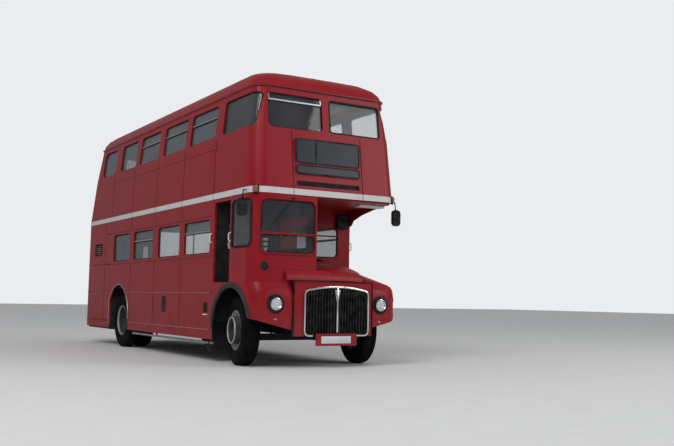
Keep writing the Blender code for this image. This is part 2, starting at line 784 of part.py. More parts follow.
def upper_floor():
    half = BODY_HALF - WALL - GAP
    front, rear = CAB_FRONT + WALL + GAP, BAND_REAR - WALL - GAP
    inner = CORNER - WALL
    outline = corner_arc(half - inner, rear - inner, inner, 0) + corner_arc(
        -half + inner, rear - inner, inner, 90
    )
    outline += corner_arc(
        -half + inner, front + inner, inner, 180
    ) + corner_arc(half - inner, front + inner, inner, 270)
    obj = piece("upper_floor", Form().prism(outline, "z", DECK_LOW, DECK_TOP), "cream", "red")
    x0, x1, y0, y1 = STAIRWELL
    cut(obj, Form().box((x0, y0, DECK_LOW - 0.23), (x1, y1, DECK_TOP + 0.26)))
    # The curved edge that hangs from the canopy over the nearside wing
    back = BULKHEAD - WALL - GAP
    edge = [
        (-3.80, DECK_LOW + 0.01), (-3.40, 2.388), (-3.10, 2.335), (-2.85, 2.262), (-2.78, 2.18), (back, 2.16),
        (back, DECK_LOW + 0.01),
    ]
    join(obj, Form().prism(edge, "x", half - 0.025, half, 1))


def bulkhead():
    half = BODY_HALF - GAP
    form = Form().box(
        (-half + WALL, BULKHEAD - WALL, FLOOR_TOP - FLOOR), (half - WALL, BULKHEAD - GAP, DECK_LOW - GAP)
    )
    obj = piece("front_bulkhead", form, "red")
    cut(obj, cross_openings(BULKHEAD_WINDOWS, BULKHEAD - 0.27, BULKHEAD + 0.13))
    near = BODY_HALF - WALL
    post = [(near - 0.01, BULKHEAD - WALL), (BODY_HALF, BULKHEAD - WALL), (BODY_HALF, FRONT_SPLIT - GAP)]
    post += [(near, FRONT_SPLIT - GAP), (near, BULKHEAD - GAP), (near - 0.01, BULKHEAD - GAP)]
    join(obj, Form().prism(post, "z", SKIRT, DECK_LOW - GAP))
    # The brackets of the bonnet's hinge
    y, z = BONNET_HINGE
    join(obj, hinge_brackets(BONNET_LUGS, BONNET_HINGE, ((y + 0.02, z + 0.009), (y + 0.02, z - 0.009))))
    cut(obj, hinge_pins(BONNET_LUGS, BONNET_HINGE, PIN + PIN_ROOM, 0.01))


def cab():
    rows = [(WING_TOP + GAP, 0), (BAND_LOW - GAP, 0)]
    plan = lambda z, i: cab_plan(z, i) + [(CAB_EDGE, CAB_FRONT + i)]
    obj = piece("cab_shell", wall(plan, rows), "red")
    y0, y1, z0, z1 = DOORWAY
    x0, x1 = through_side(-1)
    cut(obj, Form().box((x0, y0, WING_TOP - 0.1), (x1, y1, z1)))
    y0, y1, z0, z1 = CAB_WINDOW
    cut(obj, side_openings(-1, [(y0, y1)], (z0, z1), corner=CAB_WINDOW_CORNER))
    cut(obj, cross_openings([WINDSCREEN], CAB_FRONT - 0.179, CAB_FRONT + 0.121, corner=WINDSCREEN_CORNER))
    near = Form().box(
        (CAB_EDGE - WALL, CAB_FRONT + WALL + GAP, WING_TOP), (CAB_EDGE, BULKHEAD - WALL - GAP, DECK_LOW - GAP)
    )
    panel = piece("cab_nearside_panel", near, "red")
    y0, y1, z0, z1 = CAB_INNER_WINDOW
    outline = rounded((y0, z0), (y1, z1), PANE_CORNER)
    cut(panel, Form().prism(outline, "x", CAB_EDGE - 0.21, CAB_EDGE + 0.29))
    floor = Form().box(
        (-BODY_HALF + WALL + GAP, CAB_FRONT + CORNER, CAB_FLOOR_TOP - 0.03),
        (CAB_EDGE - WALL - GAP, BULKHEAD - WALL - GAP, CAB_FLOOR_TOP),
    )
    obj = piece("cab_floor", floor, "dark")
    # The runner under the sliding door
    join(
        obj,
        Form().box(
            (DOOR_FACE + 0.006, CAB_FRONT + CORNER + 0.01, CAB_FLOOR_TOP - 0.01),
            (DOOR_FACE + DOOR_THICKNESS - 0.006, BULKHEAD - WALL - 0.01, CAB_DOOR_LOW - GAP),
        ),
    )


def wings():
    # Each row is a height and how far the wing's front stands out from the cab there
    bulge = (
        (SKIRT, 0.055), (WING_TOP - 0.65, 0.062), (WING_TOP - 0.45, WING_BULGE), (WING_TOP - 0.25, 0.072),
        (WING_TOP - 0.14, 0.055), (WING_TOP - 0.06, 0.028), (WING_TOP, 0.0),
    )
    outer = [
        [(x, y, z) for x, y in cab_plan(z, 0, out) + [(WING_INNER - GAP, CAB_FRONT - out)]]
        for z, out in bulge
    ]
    inner = [
        [(x, y, z) for x, y in cab_plan(z, SKIN, out) + [(WING_INNER - GAP, CAB_FRONT - out + SKIN)]]
        for z, out in bulge
    ]
    obj = piece("wing_offside", Form().skin(outer, inner), "red", smooth=True)
    arch_y, arch_z, radius = FRONT_ARCH
    cut(obj, disc(arch_y, arch_z, radius, *through_side(-1)))
    under = ((-1.5, 0.2), (-0.4, 0.2), (-0.4, 0.50), (-0.62, 0.54), (-1.10, 0.66), (-1.5, 0.80))
    ahead, behind = CAB_FRONT - 0.379, CAB_FRONT + 0.621
    cut(obj, Form().prism(under, "y", ahead, behind))
    cut(obj, lamp_hole(-1))
    # The nearside wing closes over its top to the edge of the bonnet
    top = (
        (WING_TOP - 0.16, 0.0), (WING_TOP - 0.08, 0.012), (WING_TOP - 0.03, 0.04), (WING_TOP + 0.005, 0.095)
    )
    outer = [mirror_x(row) for row in outer[:4]]
    inner = [mirror_x(row) for row in inner[:4]]
    for z, inset in top:
        line = cab_plan(z, inset, 0.07) + [(-RADIATOR[1] - GAP, CAB_FRONT - 0.07 + inset)]
        outer.append([(-x, y, z) for x, y in line])
        line = cab_plan(z, inset + SKIN, 0.07) + [(-RADIATOR[1] - GAP, CAB_FRONT - 0.07 + inset + SKIN)]
        inner.append([(-x, y, z - SKIN * (z > WING_TOP - 0.05)) for x, y in line])
    for grid in (outer, inner):
        for row in grid:
            row[0] = (row[0][0], BULKHEAD - WALL - GAP, row[0][2])
            row[-1] = (RADIATOR[1] + GAP, row[-1][1], row[-1][2])
    outer.append(bonnet_edge_row(len(outer[0]), 0.0))
    inner.append(bonnet_edge_row(len(outer[0]), SKIN))
    obj = piece("wing_nearside", Form().skin(outer, inner), "red", smooth=True)
    x0, x1 = through_side(1)
    cut(obj, disc(arch_y, arch_z, radius, x0, x1))
    cut(obj, Form().prism([(-a, b) for a, b in under], "y", ahead, behind))
    cut(obj, Form().box((x0, arch_y, SKIRT - 0.146), (x1, BULKHEAD + 0.03, arch_z)))
    cut(obj, lamp_hole(1))


def lamp_hole(side):
    x, z, radius = HEADLAMP
    return Form().tube((side * x, CAB_FRONT - CUT_AHEAD, z), (side * x, CAB_FRONT + 0.021, z), radius, 24)


# Each row is a station of the bonnet: y, nearside edge x, top z and edge z
BONNET_STATIONS = (
    (BULKHEAD - WALL - 0.008, BODY_HALF - 0.281, WING_TOP + 0.400, WING_TOP + 0.320),
    (-3.10, BODY_HALF - 0.351, WING_TOP + 0.345, WING_TOP + 0.255),
    (-3.50, BODY_HALF - 0.431, WING_TOP + 0.290, WING_TOP + 0.195),
    (-3.80, BODY_HALF - 0.511, WING_TOP + 0.235, WING_TOP + 0.135),
    (-3.98, BODY_HALF - 0.581, WING_TOP + 0.185, WING_TOP + 0.075),
)


def bonnet_edge_row(columns, drop):
    """Points on the wing's top edge along the bonnet, from the bulkhead to the nose."""
    stations = [(x + SWING_GAP, y, z) for y, x, _, z in BONNET_STATIONS]
    row = []
    for column in range(columns):
        place = column / (columns - 1) * (len(stations) - 1)
        index = min(int(place), len(stations) - 2)
        a, b = Vector(stations[index]), Vector(stations[index + 1])
        point = a.lerp(b, place - index)
        row.append((point.x + drop * 0.3, point.y, point.z - drop))
    return row


def bonnet():
    """The bonnet lid, hinged at its rear edge, with the nearside half of the nose."""
    outer, inner = [], []
    for y, edge, top, low in BONNET_STATIONS:
        width = edge - BONNET_SIDE - SWING_GAP
        x0 = BONNET_SIDE + SWING_GAP
        line = [
            (x0, top), (x0 + 0.55 * width, top - 0.004), (x0 + 0.82 * width, top - 0.022),
            (x0 + 0.95 * width, top - 0.05), (edge, low + 0.012),
        ]
        outer.append([(x, y, z) for x, z in line])
        inner.append([(x - (0.012 if i == 4 else 0.0), y, z - SKIN) for i, (x, z) in enumerate(line)])
    # Each row is a line of the nose: y, how far its top is over the wing, and how much it narrows
    for y, over, shrink in ((-4.055, 0.145, 0.02), (-4.083, 0.09, 0.03), (-4.088, 0.045, 0.03)):
        top = WING_TOP + over
        edge = BONNET_STATIONS[-1][1] - shrink
        x0 = BONNET_SIDE + SWING_GAP
        width = edge - x0
        line = [
            (x0, 0), (x0 + 0.55 * width, -0.002), (x0 + 0.82 * width, -0.008), (x0 + 0.95 * width, -0.016),
            (edge, -0.024),
        ]
        outer.append([(x, y - d, top + d) for x, d in line])
        inner.append([(x, y - d + SKIN, top + d - 0.012 * (over > 0.1)) for x, d in line])
    form = Form().skin(outer, inner)
    obj = piece("bonnet", form, "red", origin=(0, *BONNET_HINGE), smooth=True)
    y, z = BONNET_HINGE
    join(
        obj,
        hinge_leaves(BONNET_LUGS, LUG_WIDTH, BONNET_HINGE, ((y - 0.105, z - 0.056), (y - 0.105, z - 0.030))),
    )
    join(obj, hinge_pins(BONNET_LUGS, BONNET_HINGE, PIN))


def nose_cowl():
    """The fixed offside half of the nose, with the strip beside the cab."""
    # Each row is a corner of the lip: y and how far it is over the wing
    lip = (
        (CAB_FRONT - GAP, 0.185), (-4.055, 0.145), (-4.083, 0.09), (-4.088, 0.04), (-4.066, 0.04),
        (-4.062, 0.08), (-4.04, 0.12), (CAB_FRONT - GAP, 0.155),
    )
    form = Form().prism([(y, WING_TOP + over) for y, over in lip], "x", WING_INNER - 0.10, BONNET_SIDE)
    obj = piece("nose_cowl", form, "red", smooth=True)
    strip = [(-4.055, WING_TOP + 0.145)] + [(y, top) for y, _, top, _ in reversed(BONNET_STATIONS)]
    strip = strip + [(y, z - 0.025) for y, z in reversed(strip)]
    join(obj, Form().prism(strip, "x", CAB_EDGE + GAP, BONNET_SIDE))
    # The ledge that the bonnet closes on
    ledge = [(y, top - SKIN - 0.0008) for y, _, top, _ in BONNET_STATIONS]
    ledge = ledge + [(y, z - 0.012) for y, z in reversed(ledge)]
    join(obj, Form().prism(ledge, "x", BONNET_SIDE - 0.02, BONNET_SIDE + 0.035))


def radiator_panel():
    x0, x1, z0, z1 = RADIATOR
    form = Form().box((x0, RADIATOR_FRONT, z0), (x1, RADIATOR_FRONT + SKIN, z1))
    obj = piece("radiator_panel", form, "red")
    gx0, gx1, gz0, gz1 = GRILLE
    hole = (gx0 + 0.03, gx1 - 0.03, gz0 + 0.03, gz1 - 0.03)
    cut(obj, cross_openings([hole], RADIATOR_FRONT - 0.20, RADIATOR_FRONT + 0.10, corner=0.05))


def grille():
    """A chrome surround with an arched top, a centre bar and upright slats."""
    x0, x1, z0, z1 = GRILLE
    back = RADIATOR_FRONT - GAP
    form = Form().prism(arched(x0, x1, z0, z1, 0.07), "y", GRILLE_FRONT, back, 0)
    obj = piece("grille", form, "chrome", "black")
    inside = arched(x0 + SURROUND, x1 - SURROUND, z0 + SURROUND, z1 - SURROUND, 0.05)
    cut(obj, Form().prism(inside, "y", GRILLE_FRONT - 0.175, GRILLE_FRONT + 0.125, 0))
    slats = Form()
    pitch = (x1 - x0 - 0.03) / GRILLE_SLATS
    for i in range(1, GRILLE_SLATS):
        x = x0 + 0.015 + pitch * i
        slats.box(
            (x - SLAT_HALF, GRILLE_FRONT + 0.006, z0 + 0.01),
            (x + SLAT_HALF, back - 0.004, z1 - 0.01 + 0.03 * (4 < i < GRILLE_SLATS - 4)),
            1,
        )
    join(obj, slats)
    middle, wide = (x0 + x1) / 2, 2 * SLAT_HALF
    bar = Form().box(
        (middle - wide, GRILLE_FRONT - 0.008, z0 + 0.01), (middle + wide, back - 0.002, z1 + 0.03)
    )
    join(obj, bar)


def arched(x0, x1, z0, z1, radius):
    """A rectangle with round corners whose top edge rises a little in the middle."""
    outline = rounded((x0, z0), (x1, z1), radius)
    rise = 0.05
    middle, half = (x0 + x1) / 2, (x1 - x0) / 2
    top = [
        (middle + half * share, z1 + rise * (1 - (share * half / (half - radius)) ** 2))
        for share in (0.55, 0.2, -0.2, -0.55)
    ]
    corner = len(outline) // 2
    return outline[:corner] + top + outline[corner:]


def number_plate():
    x0, x1, z0, z1 = PLATE_BOX
    back = FRONT_END + PLATE_BOX_DEPTH
    obj = piece("number_plate_box", Form().box((x0, FRONT_END, z0), (x1, back, z1)), "red")
    arms = Form()
    for x in (-0.10, 0.18):
        arms.box((x, back - 0.005, z1 - 0.037), (x + 0.10, GRILLE_FRONT - GAP, z1 - 0.024))
    join(obj, arms)


def glazing():
    """Each node is one row of panes, held on its sill rail inside the wall."""
    for name, side in SIDES:
        line = lambda z, i: side_plan(z, i, side, FRONT_SPLIT + 0.02, REAR_SPLIT - 0.07)
        glass_row(f"glass_lower_{name}", line, LOWER_ROW, side_panes(side, LOWER_WINDOWS, LOWER_ROW))
        line = lambda z, i: side_plan(z, i, side, UPPER_FRONT_SPLIT + 0.05, UPPER_REAR_SPLIT - 0.065)
        glass_row(f"glass_upper_{name}", line, UPPER_ROW, side_panes(side, UPPER_WINDOWS, UPPER_ROW))
    panes = cross_openings(front_windows(), CAB_FRONT - CUT_AHEAD, CAB_FRONT + 0.321, -GAP)
    for side in (-1, 1):
        side_panes(side, [QUARTER_FRONT], UPPER_ROW, panes)
    line = lambda z, i: front_plan(z, i, UPPER_FRONT_SPLIT - 0.05)
    glass_row("glass_upper_front", line, UPPER_ROW, panes)
    panes = side_panes(-1, [QUARTER_REAR], UPPER_ROW, corner=QUARTER_CORNER)
    side_panes(1, [QUARTER_REAR], UPPER_ROW, panes, QUARTER_CORNER)
    glass_row("glass_upper_rear", lambda z, i: rear_plan(z, i, UPPER_REAR_SPLIT + 0.055), UPPER_ROW, panes)


def side_panes(side, windows, row, form=None, corner=PANE_CORNER):
    return side_openings(side, windows, row, -GAP, corner, form)


def glass_row(name, plan, row, panes):
    low, high = row
    obj = piece(name, wall(plan, [(low - 0.01, 0), (high + 0.01, 0)], 0.012, WALL - 0.006), "glass")
    keep(obj, panes)
    join(obj, wall(plan, [(low - 0.03, 0), (low + 0.012, 0)], 0.012, WALL + GAP))


def cab_glass():
    """The windscreen in its two halves, and the cab's side window."""
    plan = lambda z, i: cab_plan(z, i) + [(CAB_EDGE, CAB_FRONT + i)]
    x0, x1, z0, z1 = WINDSCREEN
    obj = piece("windscreen", wall(plan, [(z0 - 0.01, 0), (z1 + 0.01, 0)], GLASS, 0.012), "glass", "black")
    keep(obj, cross_openings([WINDSCREEN], CAB_FRONT - 0.179, CAB_FRONT + 0.121, -GAP, WINDSCREEN_CORNER))
    low, high = WINDSCREEN_BAR
    bar = Form().box((CORNER - BODY_HALF, CAB_FRONT + 0.002, low), (x1 - 0.002, CAB_FRONT + 0.03, high), 1)
    join(obj, bar)
    y0, y1, z0, z1 = CAB_WINDOW
    obj = piece("cab_side_glass", wall(plan, [(z0 - 0.01, 0), (z1 + 0.01, 0)], GLASS, 0.012), "glass")
    keep(obj, side_openings(-1, [(y0, y1)], (z0, z1), -GAP, CAB_WINDOW_CORNER))
    x0, x1, z0, z1 = REAR_WINDOW
    pane = Form().prism(
        rounded((x0 + GAP, z0 + GAP), (x1 - GAP, z1 - GAP), PANE_CORNER),
        "y",
        body_at(z1)[2] - 0.030,
        body_at(z1)[2] - 0.022,
    )
    piece("glass_lower_rear", pane, "glass")


def cab_door():
    """The sliding cab door, slid forward behind the cab's side window."""
    y0, y1, z0, z1 = DOORWAY
    y0, y1 = y0 - DOOR_TRAVEL + 0.01, y1 - DOOR_TRAVEL - 0.005
    x0, x1 = DOOR_FACE, DOOR_FACE + DOOR_THICKNESS
    z0 = CAB_DOOR_LOW
    obj = piece(
        "cab_door", Form().box((x0, y0, z0), (x1, y1, z1)), "red", "glass", origin=((x0 + x1) / 2, y1, z0)
    )
    for low, high in ((x0 - 0.1, x0 + 0.008), (x1 - 0.008, x1 + 0.1)):
        outline = rounded((y0 + DOOR_BORDER, DOOR_PANE[0]), (y1 - DOOR_BORDER, DOOR_PANE[1]), 0.05)
        cut(obj, Form().prism(outline, "x", low, high, 1))


def stairs():
    """Winding stairs from the platform up the offside rear corner."""
    rise = (DECK_TOP - PLATFORM_TOP) / STAIR_STEPS
    form = Form()
    pivot = (-0.40, 3.32)
    block = 0.30
    tops = [PLATFORM_TOP + rise * (i + 1) for i in range(STAIR_STEPS - 1)]
    reach = pivot[0] - STAIRWELL[0]
    form.box((-0.16, 3.37, PLATFORM_TOP + GAP), (0.12, 4.02, tops[0]))
    obj = piece("stairs", form, "dark")
    more = Form().box((-0.41, 3.36, PLATFORM_TOP + GAP), (-0.15, 4.03, tops[1]))
    for i in range(3):
        outline = [pivot]
        for step in range(3):
            angle = math.radians(91 + 30 * i + 16 * step - 2 * i)
            outline.append((pivot[0] + reach * math.cos(angle), pivot[1] + reach * math.sin(angle)))
        outline[0] = (pivot[0] + 0.03, pivot[1] - 0.03)
        more.prism(outline, "z", tops[2 + i] - block, tops[2 + i])
    for i in range(3):
        y1 = 3.34 - 0.25 * i
        outer, inner = STAIRWELL[0] + 0.01, STAIRWELL[1] - 0.01 + 0.01 * i
        more.box((outer, y1 - 0.27, tops[5 + i] - block), (inner, y1, tops[5 + i]))
    join(obj, more)


def rails():
    x, y, radius = POLE
    pole = Form().tube((x, y, PLATFORM_TOP + GAP), (x, y, DECK_LOW - GAP), radius, 12)
    piece("platform_pole", pole, "steel", smooth=True)


def seat_row(name, side, floor, first, pitch, count, outer, width):
    """Seats joined by the rail on the wall that carries their outer ends."""
    stations = [first + pitch * i for i in range(count)]
    x_in, x_out = sorted((side * (outer - width), side * outer))
    form = Form()
    # Each row is a corner of a seat seen from the side: distance back and height
    profile = ((0.0, 0.38), (0.40, 0.40), (0.43, 0.90), (0.50, 0.93), (0.50, 0.30), (0.0, 0.28))
    for y in stations:
        form.prism([(y + a, floor + b) for a, b in profile], "x", x_in, x_out)
        leg = side * (outer - width + 0.10)
        form.box((leg - 0.02, y + 0.2, floor + GAP), (leg + 0.02, y + 0.24, floor + 0.30))
    rail_top = floor + 0.335
    rail = body_at(rail_top)[0] - WALL - GAP
    low, high = sorted((side * (outer - 0.02), side * rail))
    bar = Form().box((low, stations[0], rail_top - 0.035), (high, stations[-1] + 0.5, rail_top))
    join(piece(name, bar, "cloth"), form)


def seats():
    for name, side in SIDES:
        seat_row(f"seats_lower_{name}", side, FLOOR_TOP, *LOWER_SEATS)
        seat_row(f"seats_upper_{name}", side, DECK_TOP, *UPPER_SEATS)


def driver_place():
    floor = CAB_FLOOR_TOP + GAP
    form = Form().box((-0.85, -3.28, floor), (-0.60, -3.05, floor + 0.22))
    obj = piece("driver_seat", form, "black")
    shell = Form().box((-0.95, -3.38, floor + 0.20), (-0.50, -2.93, floor + 0.32))
    shell.prism(
        ((-3.00, floor + 0.30), (-2.93, floor + 0.30), (-2.86, floor + 0.80), (-2.93, floor + 0.80)),
        "x",
        -0.94,
        -0.51,
    )
    join(obj, shell)
    centre = Vector((-0.72, -3.58, CAB_FLOOR_TOP + 0.69))
    foot = Vector((-0.72, -3.74, floor + 0.0063))
    column = Form().tube(foot, centre, 0.028, 8)
    wheel = piece("steering_wheel", column, "black", smooth=True)
    axis = (centre - foot).normalized()
    turn = axis.to_track_quat("X", "Z").to_matrix()
    rim = Form().lathe(
        [(0.012 * math.cos(a), STEERING_RADIUS + 0.012 * math.sin(a)) for a in round_angles(5)], centre, 16
    )
    for angle in round_angles(3):
        tip = centre + STEERING_RADIUS * Vector((0, math.cos(angle), math.sin(angle)))
        rim.tube(centre, tip, 0.008, 5)
    join(wheel, rim.turned(centre, turn))


def running_gear():
    under = FLOOR_TOP - 0.06
    block = Form().box((-0.30, -3.92, under), (0.40, -2.72, WING_TOP - 0.08))
    piece("engine", block, "dark")
    low, high = FLOOR_TOP - 0.20, FLOOR_TOP - 0.10
    frame = Form().box((-0.42, -4.05, low), (-0.34, -2.30, high))
    obj = piece("front_subframe", frame, "dark")
    more = Form().box((0.34, -4.05, low), (0.42, -2.30, high))
    for y in (-4.05, -3.42, -2.38):
        more.box((-0.35, y, low + 0.01), (0.35, y + 0.08, high - 0.01))
    for x in (-0.38, 0.36):
        more.box((x - 0.03, -3.60, high - 0.01), (x + 0.05, -3.50, under - GAP))
    more.box((-0.42, -2.38, high - 0.02), (0.42, -2.30, FLOOR_TOP - FLOOR - GAP))
    join(obj, more)


def front_axle():
    low, high = WHEEL_RADIUS - 0.148, WHEEL_RADIUS - 0.048 - GAP
    beam = Form().box((-KINGPIN, FRONT_AXLE - 0.045, low), (KINGPIN, FRONT_AXLE + 0.045, high))
    obj = piece("front_axle", beam, "dark")
    bosses = Form()
    for side in (-1, 1):
        x, low, high = side * KINGPIN, WHEEL_RADIUS - BOSS_UNDER, WHEEL_RADIUS + BOSS_OVER
        bosses.tube((x, FRONT_AXLE, low), (x, FRONT_AXLE, high), 0.05, 16)
    join(obj, bosses)


def turned_knuckle(form, side):
    pivot = (side * KINGPIN, FRONT_AXLE, 0)
    return form.turned(pivot, Matrix.Rotation(REST_STEER, 3, "Z"))


def knuckles():
    """Yokes that turn round the kingpin bosses and carry the front wheels."""
    for name, side in SIDES:
        pivot = (side * KINGPIN, FRONT_AXLE, WHEEL_RADIUS)
        low, high = sorted((side * (KINGPIN - 0.06), side * (KINGPIN + 0.09)))
        top, under = WHEEL_RADIUS + BOSS_OVER, WHEEL_RADIUS - BOSS_UNDER
        form = Form().box((low, FRONT_AXLE - 0.05, top + GAP), (high, FRONT_AXLE + 0.05, top + YOKE_LEAF))
        obj = piece(f"knuckle_{name}", turned_knuckle(form, side), "dark", origin=pivot)
        more = Form().box((low, FRONT_AXLE - 0.05, under - YOKE_LEAF), (high, FRONT_AXLE + 0.05, under - GAP))
        low, high = sorted((side * (KINGPIN + 0.062), side * (KINGPIN + 0.09)))
        more.box(
            (low, FRONT_AXLE - 0.049, under - YOKE_LEAF + 0.001),
            (high, FRONT_AXLE + 0.049, top + YOKE_LEAF - 0.001),
        )
        more.tube(
            (side * (KINGPIN + 0.08), FRONT_AXLE, WHEEL_RADIUS),
            (side * (FRONT_TRACK_HALF + 0.055), FRONT_AXLE, WHEEL_RADIUS),
            STUB_RADIUS,
            16,
        )
        join(obj, turned_knuckle(more, side))


def tyre_outline(middle, width):
    """A tyre's section from its inner bead round to its outer bead: distance along the axle and radius."""
    # Each row is a share of the width and of the wheel's radius
    shape = (
        (-0.38, 0.52), (-0.50, 0.70), (-0.49, 0.86), (-0.40, 0.96), (-0.30, 1.0), (0.30, 1.0), (0.40, 0.96),
        (0.49, 0.86), (0.50, 0.70), (0.38, 0.52),
    )
    # The flats between the steps, not the corners, stand at the wheel's radius
    outer = WHEEL_RADIUS / math.cos(math.pi / WHEEL_STEPS)
    return [(middle + width * along, outer * radius, 0) for along, radius in shape]


def wheel_form(outline, side, centre):
    """Turn a wheel's outline. Each point is a distance along the axle, a radius and a paint number."""
    profile = [(side * along, radius) for along, radius, _ in outline]
    form = Form().lathe(profile, centre, WHEEL_STEPS)
    form.paints = [outline[i % len(outline)][2] for i in range(len(form.faces))]
    return form


def front_wheels():
    bead = WHEEL_RADIUS * 0.52
    outline = tyre_outline(0, TYRE_WIDTH)
    # The rim, its dished disc and the hub
    outline += [
        (0.108, bead, 1), (0.112, bead - 0.03, 1), (0.060, bead - 0.045, 1), (0.078, 0.14, 1),
        (0.105, 0.115, 1),
    ]
    outline += [
        (0.108, 0.06, 1), (0.055, STUB_RADIUS + RUNNING, 1), (-0.02, STUB_RADIUS + RUNNING, 1),
        (-0.02, 0.13, 1), (0.02, 0.215, 1),
    ]
    outline += [(-0.10, bead - 0.03, 1)]
    for name, side in SIDES:
        centre = (side * FRONT_TRACK_HALF, FRONT_AXLE, WHEEL_RADIUS)
        origin = Vector((side * KINGPIN, FRONT_AXLE, WHEEL_RADIUS))
        centre_now = origin + Matrix.Rotation(REST_STEER, 3, "Z") @ (Vector(centre) - origin)
        form = turned_knuckle(wheel_form(outline, side, centre), side)
        piece(f"wheel_front_{name}", form, "rubber", "steel", origin=centre_now, smooth=True)


def rear_axle():
    z, end = WHEEL_RADIUS, TWIN_OUTER - 0.015
    beam = Form().tube((-end, REAR_AXLE, z), (end, REAR_AXLE, z), REAR_STUB, 16)
    obj = piece("rear_axle", beam, "dark", smooth=True)
    more = Form().tube((-0.14, REAR_AXLE, z), (0.14, REAR_AXLE, z), 0.108, 16)
    for side in (-1, 1):
        more.tube((side * 0.48, REAR_AXLE, z), (side * 0.48, REAR_AXLE, FLOOR_TOP - FLOOR - GAP), 0.05, 12)
    join(obj, more)


def rear_wheels():
    """Twin wheels: two tyres on their rims, joined by the deep dished disc."""
    bead = WHEEL_RADIUS * 0.52
    outline = tyre_outline(TWIN_INNER, TWIN_WIDTH) + tyre_outline(TWIN_OUTER, TWIN_WIDTH)
    # The rim and dished disc: distance from the outer tyre's middle and radius
    disc_rows = (
        (0.10, bead - 0.03), (-0.07, bead - 0.045), (-0.09, 0.19), (-0.015, 0.11),
        (-0.005, REAR_STUB + RUNNING), (-0.175, REAR_STUB + RUNNING), (-0.175, 0.16), (-0.155, 0.215),
    )
    outline += [(TWIN_OUTER + along, radius, 1) for along, radius in disc_rows]
    outline.append((TWIN_INNER - 0.096, bead - 0.03, 1))
    for name, side in SIDES:
        form = wheel_form(outline, side, (0, REAR_AXLE, WHEEL_RADIUS))
        middle = (side * (TWIN_INNER + TWIN_OUTER) / 2, REAR_AXLE, WHEEL_RADIUS)
        piece(f"wheel_rear_{name}", form, "rubber", "steel", origin=middle, smooth=True)


def lamps():
    for name, side in SIDES:
        x = side * HEADLAMP[0]
        z, radius = HEADLAMP[1:]
        body = Form().tube((x, LAMP_FRONT + 0.06, z), (x, LAMP_FRONT + 0.004, z), radius - GAP, 24)
        obj = piece(f"headlamp_{name}", body, "chrome", smooth=True)
        join(obj, Form().tube((x, CAB_FRONT - WING_BULGE - GAP, z), (x, LAMP_FRONT, z), radius + 0.013, 24))
    flat = (CORNER + BEAD) * math.cos(math.radians(9)) + GAP
    for name, side in SIDES:
        centre = Vector((side * (BODY_HALF - CORNER), CAB_FRONT + CORNER, 0))
        low, high = sorted((side * flat, side * (flat + 0.04)))
        form = Form().box((low, -0.034, BAND_LOW - 0.003), (high, 0.034, BAND_HIGH + 0.003))
        form.points = [
            centre + Matrix.Rotation(math.radians(-45 * side), 3, "Z") @ point for point in form.points
        ]
        piece(f"indicator_{name}", form, "orange")


def mirrors():
    """Each hangs on an arm from the cream band."""
    for name, side in SIDES:
        x, y = side * MIRROR[0], MIRROR[1]
        low, high = MIRROR_HEIGHTS
        form = Form().prism(rounded((x - 0.075, low), (x + 0.075, high), 0.05), "y", y - 0.03, y + 0.01)
        obj = piece(f"mirror_{name}", form, "black")
        root = Vector((side * (BODY_HALF + BEAD + 0.0063), CAB_FRONT + CORNER + 0.02, 2.50))
        elbow = Vector((x - side * 0.02, y - 0.005, 2.49))
        arm = Form().tube((x, y - 0.005, high - 0.03), elbow, 0.009, 8).tube(
            elbow + Vector((side * 0.006, 0, -0.008)), root, 0.009, 8
        )
        join(obj, arm)


def main():
    clear_scene()
    lower_sides()
    lower_rear()
    upper_sides()
    upper_front()
    upper_rear()
    emergency_window()
    roof()
    band()
    decks()
    upper_floor()
    bulkhead()
    cab()
    wings()
    bonnet()
    nose_cowl()
    radiator_panel()
    grille()
    number_plate()
    glazing()
    cab_glass()
    cab_door()
    stairs()
    rails()
    seats()
    driver_place()
    running_gear()
    front_axle()
    knuckles()
    front_wheels()
    rear_axle()
    rear_wheels()
    lamps()
    mirrors()


main()
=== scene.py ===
"""Looks of the half-cab double decker bus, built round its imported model."""

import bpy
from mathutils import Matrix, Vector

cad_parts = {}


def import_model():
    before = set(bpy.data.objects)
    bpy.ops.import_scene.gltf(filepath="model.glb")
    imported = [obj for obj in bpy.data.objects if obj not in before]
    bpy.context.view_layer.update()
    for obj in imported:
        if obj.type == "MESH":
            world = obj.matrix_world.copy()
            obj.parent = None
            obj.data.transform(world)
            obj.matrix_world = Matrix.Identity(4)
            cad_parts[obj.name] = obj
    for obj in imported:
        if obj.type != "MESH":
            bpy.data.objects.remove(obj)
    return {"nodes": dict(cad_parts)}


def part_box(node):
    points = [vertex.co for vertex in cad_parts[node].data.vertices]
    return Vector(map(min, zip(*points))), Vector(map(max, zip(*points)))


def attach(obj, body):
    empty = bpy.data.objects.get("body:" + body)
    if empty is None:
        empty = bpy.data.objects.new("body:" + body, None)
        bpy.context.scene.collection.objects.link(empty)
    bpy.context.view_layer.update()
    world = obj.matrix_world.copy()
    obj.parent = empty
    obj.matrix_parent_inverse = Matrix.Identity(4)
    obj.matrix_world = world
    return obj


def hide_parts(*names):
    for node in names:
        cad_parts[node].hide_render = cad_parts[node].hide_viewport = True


bl_info = {
    "name": "Double Decker Bus",
    "version": (1, 0, 0),
    "blender": (4, 5, 0),
    "location": "View3D > Sidebar > Bus",
    "description": "Panels, glazing, wheels, seats and finishes of a half-cab double decker bus",
    "category": "Add Mesh",
}

import math

import bpy
from mathutils import Matrix, Vector

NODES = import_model()["nodes"]
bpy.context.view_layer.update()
SIDES = (("offside", -1), ("nearside", 1))
AHEAD = (0, -1, 0)

# Each wall's turn about the vertical, which way it runs as seen, and how far out its plates start
WALLS = {
    "front": (0, 1, 5.5),
    "rear": (180, -1, 5.5),
    "offside": (-90, -1, 2.5),
    "nearside": (90, 1, 2.5),
}

